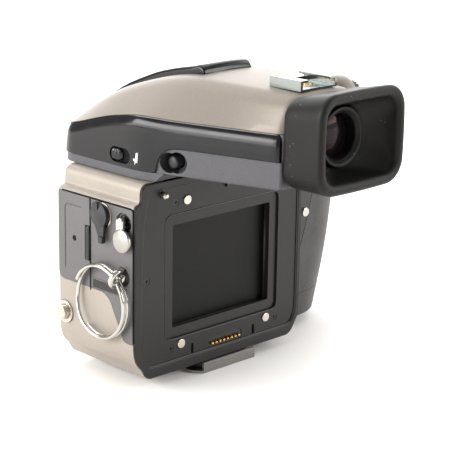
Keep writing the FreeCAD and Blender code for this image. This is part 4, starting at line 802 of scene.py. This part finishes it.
def eyecup():
    """Soft eyecup: tapered sleeve, rolled rim, and a funnel that curves in to the eyepiece."""
    front, rear = -54.75, -76.0
    rim, foot = -73.8, -63.4
    mouth_radius, foot_radius = 6.6, 13.4

    def outline(y, *sizes):
        return [(x, y, z) for x, z in rounded_rectangle(*sizes)]

    def sleeve(y, inset):
        t = max((y - front) / (rear - front), 0.0)
        half = 24.4 + 1.1 * t - inset
        top = 126.0 + 4.2 * t ** 1.2 - inset
        low = 89.6 - 0.3 * t + inset
        radius = max(8.0 + 2.2 * t - inset * 0.8, 1.5)
        return outline(y, half, low, top, radius, 9, 6, 0.25 * t)

    rings = [sleeve(-53.9, 2.4), sleeve(-54.9, 1.0), sleeve(-55.9, 0.3), sleeve(-57.2, 0.0)]
    rings += [sleeve(y, 0.0) for y in (-60, -63, -66, -69, -72, -73.6)]
    for turn in range(18, 181, 18):
        a = radians(turn)
        rings.append(sleeve(rim - 2.2 * sin(a), 2.3 - 2.3 * cos(a)))
    starts = (25.5 - 4.6, 89.3 + 4.6, 130.1 - 4.6)
    ends = (13.6, EYE_HEIGHT - foot_radius, EYE_HEIGHT + foot_radius)
    for i in range(1, 13):
        t = i / 12
        eases = (0.35 * t + 0.65 * t ** 2.4, 0.5 * t + 0.5 * t ** 2.0, 0.4 * t + 0.6 * t ** 2.2)
        half, low, top = (a + (b - a) * ease for a, b, ease in zip(starts, ends, eases))
        radius = min(mouth_radius + (foot_radius - mouth_radius) * t ** 0.8, half - 0.1,
                     (top - low) / 2 - 0.1)
        rings.append(outline(rim + (foot - rim) * t, half, low, top, radius, 9, 6))
    for y, r in ((-62.9, 13.0), (-62.4, 12.6), (-61.0, 12.5)):
        rings.append(outline(y, r, EYE_HEIGHT - r, EYE_HEIGHT + r, r - 0.1, 9, 6))
    piece("soft_eyecup", skin(rings), "eyecup rubber", "viewfinder", ["eyecup"], 60)


# Split ring

RING_RADIUS = 15.6
RING_PITCH = 2.1
RING_WIRE = 0.8
RING_CENTRE = (-54.55, 18.66, 32.68)


def wire(name, places, radius, finish, body, replaces=(), resolution=3):
    """Round wire along a line through its places, with flat ends."""
    line = bpy.data.curves.new(name, "CURVE")
    line.dimensions = "3D"
    line.bevel_depth = radius * MM
    line.bevel_resolution = resolution
    line.use_fill_caps = True
    run = line.splines.new("POLY")
    run.points.add(len(places) - 1)
    for point, place in zip(run.points, places):
        point.co = (*at(*place), 1.0)
    piece(name, baked(linked(name, line)), finish, body, replaces, 60)


def split_ring():
    """Spring wire wound twice round: two flat turns joined by one crossover, ends beside it."""
    places = []
    lean = radians(-14)
    x0, y0, z0 = RING_CENTRE
    crossover_half = 40
    for degree in range(crossover_half, 721 - crossover_half, 4):
        t = min(max((degree - 360 + crossover_half) / (2 * crossover_half), 0), 1)
        x = -RING_PITCH / 2 + RING_PITCH * t * t * (3 - 2 * t)
        a = radians(degree) + lean
        places.append((x0 + x, y0 + RING_RADIUS * cos(a), z0 + RING_RADIUS * sin(a)))
    wire("key_ring_wire", places, RING_WIRE, "bright nickel", "ring", ["split_ring"], 4)


# Flash symbol beside the slider, printed on the left wing

BOLT = [(1.2, 2.6), (0.2, 2.6), (-1.2, 0.0), (0.0, 0.0), (-0.4, -1.1), (-1.2, -0.9),
        (-0.7, -2.7), (0.8, -1.8), (0.2, -1.5), (1.1, 0.8), (0.0, 0.8)]


def flash_symbol():
    """The symbol as a thin layer of ink on the wing's curved face."""
    middle_y, middle_z = 8.4, 94.2
    shape = bmesh.new()
    ring = first_ring(shape, [(-finder_half(middle_y - a) - 0.02, middle_y - a, middle_z + b)
                              for a, b in BOLT])
    bmesh.ops.contextual_create(shape, geom=ring)
    bmesh.ops.recalc_face_normals(shape, faces=shape.faces)
    if shape.faces[0].normal.x > 0:
        bmesh.ops.reverse_faces(shape, faces=shape.faces)
    made = piece("flash_symbol", shape, "white print", "viewfinder")
    thicken(made, 0.06)
    made.modifiers["wall"].offset = 0.6


# Catch button and its scoop in the lower housing

CATCH = (-6.6, 94.4)


def round_bar(start, end, r0, r1, sides=48):
    """Solid bar of round section between two places."""
    a, b = Vector(start), Vector(end)
    along = (b - a).normalized()
    side = along.cross(Vector((0, 0, 1))).normalized()
    up = side.cross(along)
    rings = [[tuple(middle + side * r * cos(tau * i / sides) + up * r * sin(tau * i / sides))
              for i in range(sides)] for middle, r in ((a, r0), (b, r1))]
    return skin(rings, caps=(True, True))


def turned(profile, middle, sides=40, axis=0):
    """Solid turned about an axis along X (0) or Y (1): profile as (place, radius), ends closed."""
    rings = []
    for along, r in profile:
        ring = []
        for i in range(sides):
            a = tau * i / sides
            place = [r * cos(a), r * sin(a)]
            place.insert(axis, along)
            ring.append(tuple(m + p for m, p in zip(middle, place)))
        rings.append(ring)
    return skin(rings, caps=(True, True))


def side_plate(outline, x0, x1):
    """Flat plate along the left side: outline as (y, z), from one x to another."""
    return skin([[(x0, y, z) for y, z in outline], [(x1, y, z) for y, z in outline]],
                caps=(True, True))


def stadium(y0, y1, z0, z1, steps=12):
    """Outline of a slot with round ends, as (y, z)."""
    r = (z1 - z0) / 2
    points = []
    for middle, start in ((y1 - r, -90), (y0 + r, 90)):
        for i in range(steps + 1):
            a = radians(start + 180 * i / steps)
            points.append((middle + r * cos(a), z0 + r + r * sin(a)))
    return points


def carved(solid, cuts=(), fills=(), wall=0.0):
    """Joins forms to a solid and cuts others out of it; only the result is kept."""
    first, *others = [linked("form", mesh_of("form", shape)) for shape in (solid, *fills, *cuts)]
    if wall:
        thicken(first, wall)
    for i, other in enumerate(others):
        step = first.modifiers.new("carve", "BOOLEAN")
        step.operation = "UNION" if i < len(fills) else "DIFFERENCE"
        step.object = other
        step.solver = "EXACT"
    return baked(first, *others)


def copied(name, keep=lambda place: True):
    """A carried-over part's shape, joined up; keep picks its points by their place in mm."""
    shape = bmesh.new()
    shape.from_mesh(parts[name].data)
    bmesh.ops.remove_doubles(shape, verts=shape.verts, dist=JOIN_DISTANCE)
    drop = [v for v in shape.verts if not keep(v.co / MM - BODY_ORIGIN)]
    bmesh.ops.delete(shape, geom=drop, context="VERTS")
    return shape


def catch():
    """Scoop that opens rearwards in the housing, with the domed release button in its head."""
    y, z = CATCH
    plug = skin([[(-40.8, -0.6, h), (-33.5, -24.4, h), (-31.5, -24.4, h), (-31.5, -0.6, h)]
                 for h in (89.45, 100.3)], caps=(True, True))
    scoop = round_bar((-34.6, y - 1.0, z), (-46.0, y - 8.0, z + 1.0), 3.6, 6.4)
    well = round_bar((-33.2, y, z), (-46.0, y, z), 3.3, 5.4)
    bore = round_bar((-30.0, y, z), (-34.0, y, z), 3.0, 3.0)
    shape = carved(copied("finder_lower_housing"), cuts=[scoop, well, bore], fills=[plug])
    # Painted shade: the well and the scoop's roof are dark inside the housing's wall; the rest stays grey
    well_shade_reach, roof_shade_reach, wall = 4.6, 8.0, 1.35
    for face in shape.faces:
        spot = face.calc_center_median() / MM - BODY_ORIGIN
        in_well_shade = hypot(spot.y - y, spot.z - z) < well_shade_reach
        in_roof_shade = face.normal.z < -0.5 and hypot(spot.y - y + 3, spot.z - z) < roof_shade_reach
        face.material_index = int((in_well_shade or in_roof_shade) and finder_half(spot.y) + spot.x > wall)
    housing = piece("lower_housing", shape, "grey moulding", "viewfinder",
                    ["finder_lower_housing"], 32)
    # Second finish: the dark rubber as painted shade
    housing.data.materials.append(FINISHES["charcoal rubber and painted shade"])
    bevelled(housing, 0.35, 2, CUT_EDGE_ANGLE)
    dome_profile = [(5.0, 2.8), (0.9, 2.8), (0.5, 2.74), (0.15, 2.5), (-0.1, 2.05), (-0.3, 1.3),
                    (-0.4, 0.5)]
    piece("catch_button", turned(dome_profile, (-37.6, y, z)), "charcoal rubber and painted shade",
          "finder_catch", ["finder_release"], 50)


# Flash slider in its slot on the left wing

def slider_slot():
    """Form of the slot that is cut into the left wing."""
    return side_plate(stadium(11.6, 24.2, 91.0, 97.5), -47.5, -43.0)


def slider():
    """Ribbed knob with rounded ends, on the bed of its slot, which is painted black as shade."""
    # The bed's black without reflections is painted shade deep in the slot
    bed = side_plate(stadium(11.9, 23.9, 91.3, 97.2), -43.05, -42.7)
    piece("slider_bed", bed, "painted shade black", "viewfinder")
    rings = []
    z, half_length, middle = 94.25, 3.4, 20.2
    for i in range(33):
        t = -1 + 2 * i / 32
        y = middle + half_length * sin(radians(90 * t))
        round_off = sqrt(max(1 - abs((y - middle) / (half_length + 0.02)) ** 3, 0.0))
        tall = 2.65 * (0.25 + 0.75 * round_off)
        rib = 0.3 * cos((y - middle) * tau / 2.2)
        out = 43.6 + 1.25 * round_off + rib * round_off
        ring = []
        for k in range(12):
            a = radians(-90 + 180 * k / 11)
            ring.append((-43.1 - (out - 43.1) * max(cos(a), 0.0) ** 0.4, y, z + tall * sin(a)))
        rings.append(ring)
    piece("slider_knob", skin(rings, caps=(True, True)), "gloss black", "flash_slider",
          ["flash_switch"], 50)


# Small parts of the left side, the rear and the gate, and the eye lens

def strap_stud():
    """Flat turned disc on a chamfered neck; the neck's root sits in a dark round recess."""
    recess = turned([(0.9, 3.8), (0.05, 3.8), (0.0, 3.72), (0.35, 3.4), (0.35, 0.4)],
                    (-51.87, 6.0, 68.6))
    piece("stud_recess", recess, "gloss black", "camera_body")
    disc = turned([(1.6, 4.4), (1.35, 4.85), (1.0, 5.0), (0.2, 5.0), (0.0, 4.9), (-0.14, 4.6),
                   (-0.32, 4.0), (-0.55, 3.0), (-0.71, 2.0), (-0.81, 1.0), (-0.84, 0.3)],
                  (-55.1, 5.3, 61.75), 56)
    piece("stud_disc", disc, "satin nickel", "camera_body", ["left_strap_stud"], 40)
    ring = [(4.9, 62.0), (8.8, 62.0), (8.8, 70.0), (8.0, 71.3), (5.7, 71.3), (4.9, 70.0)]
    neck = side_plate(ring, -54.9, -52.2)
    piece("stud_neck", softened(neck, 0.6, 2), "bright nickel", "camera_body")
    stem = turned([(2.6, 2.0), (0.0, 2.0)], (-53.2, 6.4, 67.6))
    piece("stud_stem", stem, "gloss black", "camera_body")


def ring_eye():
    """Smooth round eye that stands out of a shallow cup in the panel."""
    shape = bmesh.new()
    bmesh.ops.create_circle(shape, segments=24, radius=1.3 * MM)
    quarter = radians(90)
    bmesh.ops.rotate(shape, verts=shape.verts, matrix=Matrix.Rotation(quarter, 3, "X"))
    bmesh.ops.translate(shape, verts=shape.verts, vec=(3.45 * MM, 0, 0))
    bmesh.ops.spin(shape, geom=shape.verts[:] + shape.edges[:], cent=(0, 0, 0), axis=(0, 0, 1),
                   angle=tau, steps=64, use_merge=True)
    lean = (Matrix.Rotation(radians(17), 3, "X") @ Matrix.Rotation(quarter, 3, "Z")
            @ Matrix.Rotation(quarter, 3, "Y"))
    bmesh.ops.rotate(shape, verts=shape.verts, matrix=lean)
    bmesh.ops.translate(shape, verts=shape.verts, vec=at(-54.55, 7.8, 45.2))
    bmesh.ops.recalc_face_normals(shape, faces=shape.faces)
    piece("eye_loop", shape, "bright nickel", "camera_body", ["ring_eye"], 60)
    cup = turned([(0.9, 3.9), (0.1, 3.9), (0.0, 3.75), (0.05, 3.3), (0.4, 2.7), (0.45, 0.4)],
                 (-51.75, 7.8, 45.2))
    piece("eye_cup", cup, "black enamel", "camera_body")


def port_strip():
    """Narrow soft cover over the side connectors, standing a little out of its slot."""
    rear, front, low, high = 28.4, 30.7, 48.0, 62.7
    strip = side_plate([(rear, low), (front, low), (front, high), (rear, high)], -52.6, -50.6)
    piece("port_strip", softened(strip, 0.35, 3), "gloss black", "port_plug", ["port_cover"])


def sync_cap():
    """Rubber cap: low dome with a rim, a finger nub above it, a pull tail with a thick end."""
    y, z = 20.3, 69.7
    disc = turned([(1.9, 5.0), (1.2, 5.2), (0.35, 5.2), (0.1, 5.05), (0.0, 4.7), (0.05, 4.2),
                   (-0.2, 3.4), (-0.4, 2.2), (-0.48, 0.6)], (-54.5, y, z), 56)

    def tab(outline, x0, x1):
        return side_plate([(y + a, z + b) for a, b in outline], x0, x1)

    nub = tab([(-0.4, 2.6), (2.9, 1.6), (3.0, 4.6), (2.2, 5.4), (0.3, 5.6), (-0.4, 4.9)],
              -55.2, -53.0)
    tail = tab([(-3.6, -2.6), (2.6, -4.0), (-0.9, -11.2), (-2.9, -11.2)], -54.3, -53.0)
    grip = tab([(-3.2, -8.9), (-0.5, -8.9), (-0.8, -11.6), (-3.0, -11.6)], -55.0, -52.9)
    shape = carved(disc, fills=[nub, tail, grip])
    made = piece("sync_cap_rubber", shape, "charcoal rubber and painted shade", "socket_cap", ["sync_cap"])
    bevelled(made, 0.3, 3, CUT_EDGE_ANGLE)
    collar = turned([(1.2, 5.7), (0.1, 5.7), (-0.3, 5.45), (-0.35, 5.2), (-0.1, 4.9), (-0.1, 3.0)],
                    (-52.3, 19.9, 69.3), 56)
    piece("socket_collar", collar, "bright nickel", "camera_body")


def name_panel():
    """Bare black plate inside the thin silver rim of the nameplate."""
    rear, front, low, high = 5.42, 26.48, 36.72, 40.38
    plate = side_plate([(rear, low), (front, low), (front, high), (rear, high)], -51.95, -51.7)
    piece("nameplate_field", plate, "gloss black", "camera_body")


def rear_fasteners():
    """Dark screws and stop pin of the rear plate, and the bright locating pin."""
    pin_x, pin_z, reach = -36, 79, 2

    def is_screw(p):
        return abs(p.x - pin_x) > reach or abs(p.z - pin_z) > reach

    screws = copied("rear_fasteners", is_screw)
    piece("plate_screws", screws, "gloss black", "camera_body", ["rear_fasteners"])
    pins = copied("rear_fasteners", lambda p: not is_screw(p))
    piece("locating_pins", pins, "turned steel", "camera_body")


def rounded_outline(points, cuts, steps=6):
    """Closed outline as (x, z) whose corners are rounded off by their cut lengths."""
    places = []
    for i, (x, z) in enumerate(points):
        here = Vector((x, z))
        before = Vector(points[i - 1]) - here
        after = Vector(points[(i + 1) % len(points)]) - here
        cut = min(cuts[i], 0.49 * before.length, 0.49 * after.length)
        a, b = here + before.normalized() * cut, here + after.normalized() * cut
        for k in range(steps + 1):
            t = k / steps
            p = a * (1 - t) ** 2 + here * 2 * t * (1 - t) + b * t ** 2
            places.append((p.x, p.y))
    return places + places[:1]


def beads():
    """Thin dark beads in the seams of the rear plate, gate's sunk field, panel and hatch: painted shade.
    """
    left, right, low, high = -48.1, 46.2, 5.1, 81.5
    plate = rounded_outline(
        [(left + 4, low), (right - 3, low), (right, low + 6), (right, high), (left + 4.4, high),
         (left + 2.8, high - 7), (left + 1, high - 21.5), (left, low + 5)],
        [3.0, 3.0, 3.0, 4.0, 3.0, 3.0, 6.0, 3.0])
    wide, foot, head = 34.25, 42 - 27.6, 42 + 27.6
    field = rounded_outline([(-wide, foot), (wide, foot), (wide, head), (-wide, head)], [4.0] * 4)
    panel = [(-51.72, 1.12, z) for z in (17.6, 30, 45, 60, 73.4)]
    panel += [(-51.72, 1.3, 74.5), (-51.72, 1.9, 75.15), (-51.72, 3.0, 75.3)]
    panel += [(-51.72, y, 75.3) for y in (12, 24, 36, 46.5)]
    hatch = [(-51.78, 28.2, z) for z in (35.0, 42, 48, 55, 63, 70, 75.0)]
    # Painted shade: the beads' dark stands for the shaded gaps; the gloss ones also catch real highlights
    for name, places, radius, finish, slot in (
            ("plate_bead", [(x, 0.62, z) for x, z in plate], 0.34, "gloss black", "frame_black"),
            ("gate_bead", [(x, 0.86, z) for x, z in field], 0.3, "gloss black", "frame_black"),
            ("panel_bead", panel, 0.42, "painted shade black", "side_panel"),
            ("hatch_bead", hatch, 0.3, "painted shade black", "side_panel")):
        wire(name, places, radius, finish, "camera_body")


def shutter_leaves():
    """Two cloth-faced leaves that meet edge to edge across the middle of the gate."""
    half, rear, front, barrel_radius = 30.3, 5.9, 6.7, 0.95
    for name, hinge, tip in (("upper", 66.2, 42.01), ("lower", 17.8, 41.99)):
        leaf = skin([[(-half, rear, z), (half, rear, z), (half, front, z), (-half, front, z)]
                     for z in sorted((hinge, tip))], caps=(True, True))
        piece(name + "_leaf_cloth", leaf, "shutter cloth", name + "_leaf",
              [name + "_shutter_leaf"])
        barrel = turned([(0, barrel_radius), (2 * half, barrel_radius)], (-half, 6.3, hinge), 24)
        piece(name + "_leaf_hinge", barrel, "black moulding", name + "_leaf")


def eyepiece():
    """Curved eye lens, with a painted reflection of the smaller element behind it."""
    radius = 9.3
    front = [(0.4, radius), (-0.3, radius)]
    front += [(-0.3 - 1.5 * (1 - (r / radius) ** 2), r) for r in (8.6, 7.6, 6.2, 4.6, 3.0, 1.4, 0.3)]
    piece("front_lens", turned(front, (0.0, -58.9, EYE_HEIGHT), 56, 1), "coated glass",
          "viewfinder", ["eye_lens"], 40)


# Studio: pale floor, broad soft light overhead and from the far side, weaker light all round

LIT_PLACE = Vector((0.0, 0.0, 0.07))
# Softboxes: place and size in metres, power in watts
SOFTBOXES = {
    "overhead": ((0.3, 0.6, 2.0), (2.6, 2.2), 30.0),
    "key": ((-0.1, 0.85, 1.05), (0.5, 0.35), 1.0),
    "left": ((-1.42, 0.5, 0.74), (1.3, 0.6), 29.0),
    "low": ((-1.5, 0.5, 0.27), (1.8, 0.3), 10.0),
    "rear": ((0.9, -1.3, 0.6), (0.9, 0.9), 16.0),
    "right": ((1.6, -0.2, 0.9), (1.0, 0.9), 9.0),
    "far": ((1.7, 1.8, 0.9), (3.2, 1.8), 66.0),
}


def softbox(name, place, size, power):
    """Rectangular light that points at the middle of the camera."""
    data = bpy.data.lights.new(name + " softbox", "AREA")
    data.shape = "RECTANGLE"
    data.size, data.size_y = size
    data.energy = power
    lamp = linked(data.name, data)
    lamp.location = place
    aim = LIT_PLACE - lamp.location
    lamp.rotation_euler = aim.to_track_quat("-Z", "Y").to_euler()
    lamp.visible_camera = False


def studio():
    """Even pale surroundings, the floor and the lights."""
    world = bpy.data.worlds.new("studio")
    world.use_nodes = True
    tree = world.node_tree
    tree.nodes.clear()
    sky = add(tree, "Background", {"Color": (1.0, 0.99, 0.975, 1.0), "Strength": 0.5})
    add(tree, "OutputWorld", {"Surface": sky})
    scene.world = world
    sheet = bmesh.new()
    bmesh.ops.create_grid(sheet, x_segments=2, y_segments=2, size=6.0)
    floor = linked("floor", mesh_of("floor", sheet))
    floor.data.materials.append(material("white paper floor", white_paper))
    floor.location = (0, 0, cad_box[0].z - 0.1 * MM)
    for name, settings in SOFTBOXES.items():
        softbox(name, *settings)
    scene.view_settings.view_transform = "Standard"
    scene.view_settings.look = "None"


camera()
for finish, widths in CARRIED.items():
    for name, width_mm in widths.items():
        dress(parts[name], finish, width_mm)
dome()
dioptre_boss()
side_wing(-1)
side_wing(1)
flash_head()
eyecup()
split_ring()
flash_symbol()
catch()
slider()
strap_stud()
ring_eye()
port_strip()
sync_cap()
name_panel()
rear_fasteners()
beads()
shutter_leaves()
eyepiece()
studio()
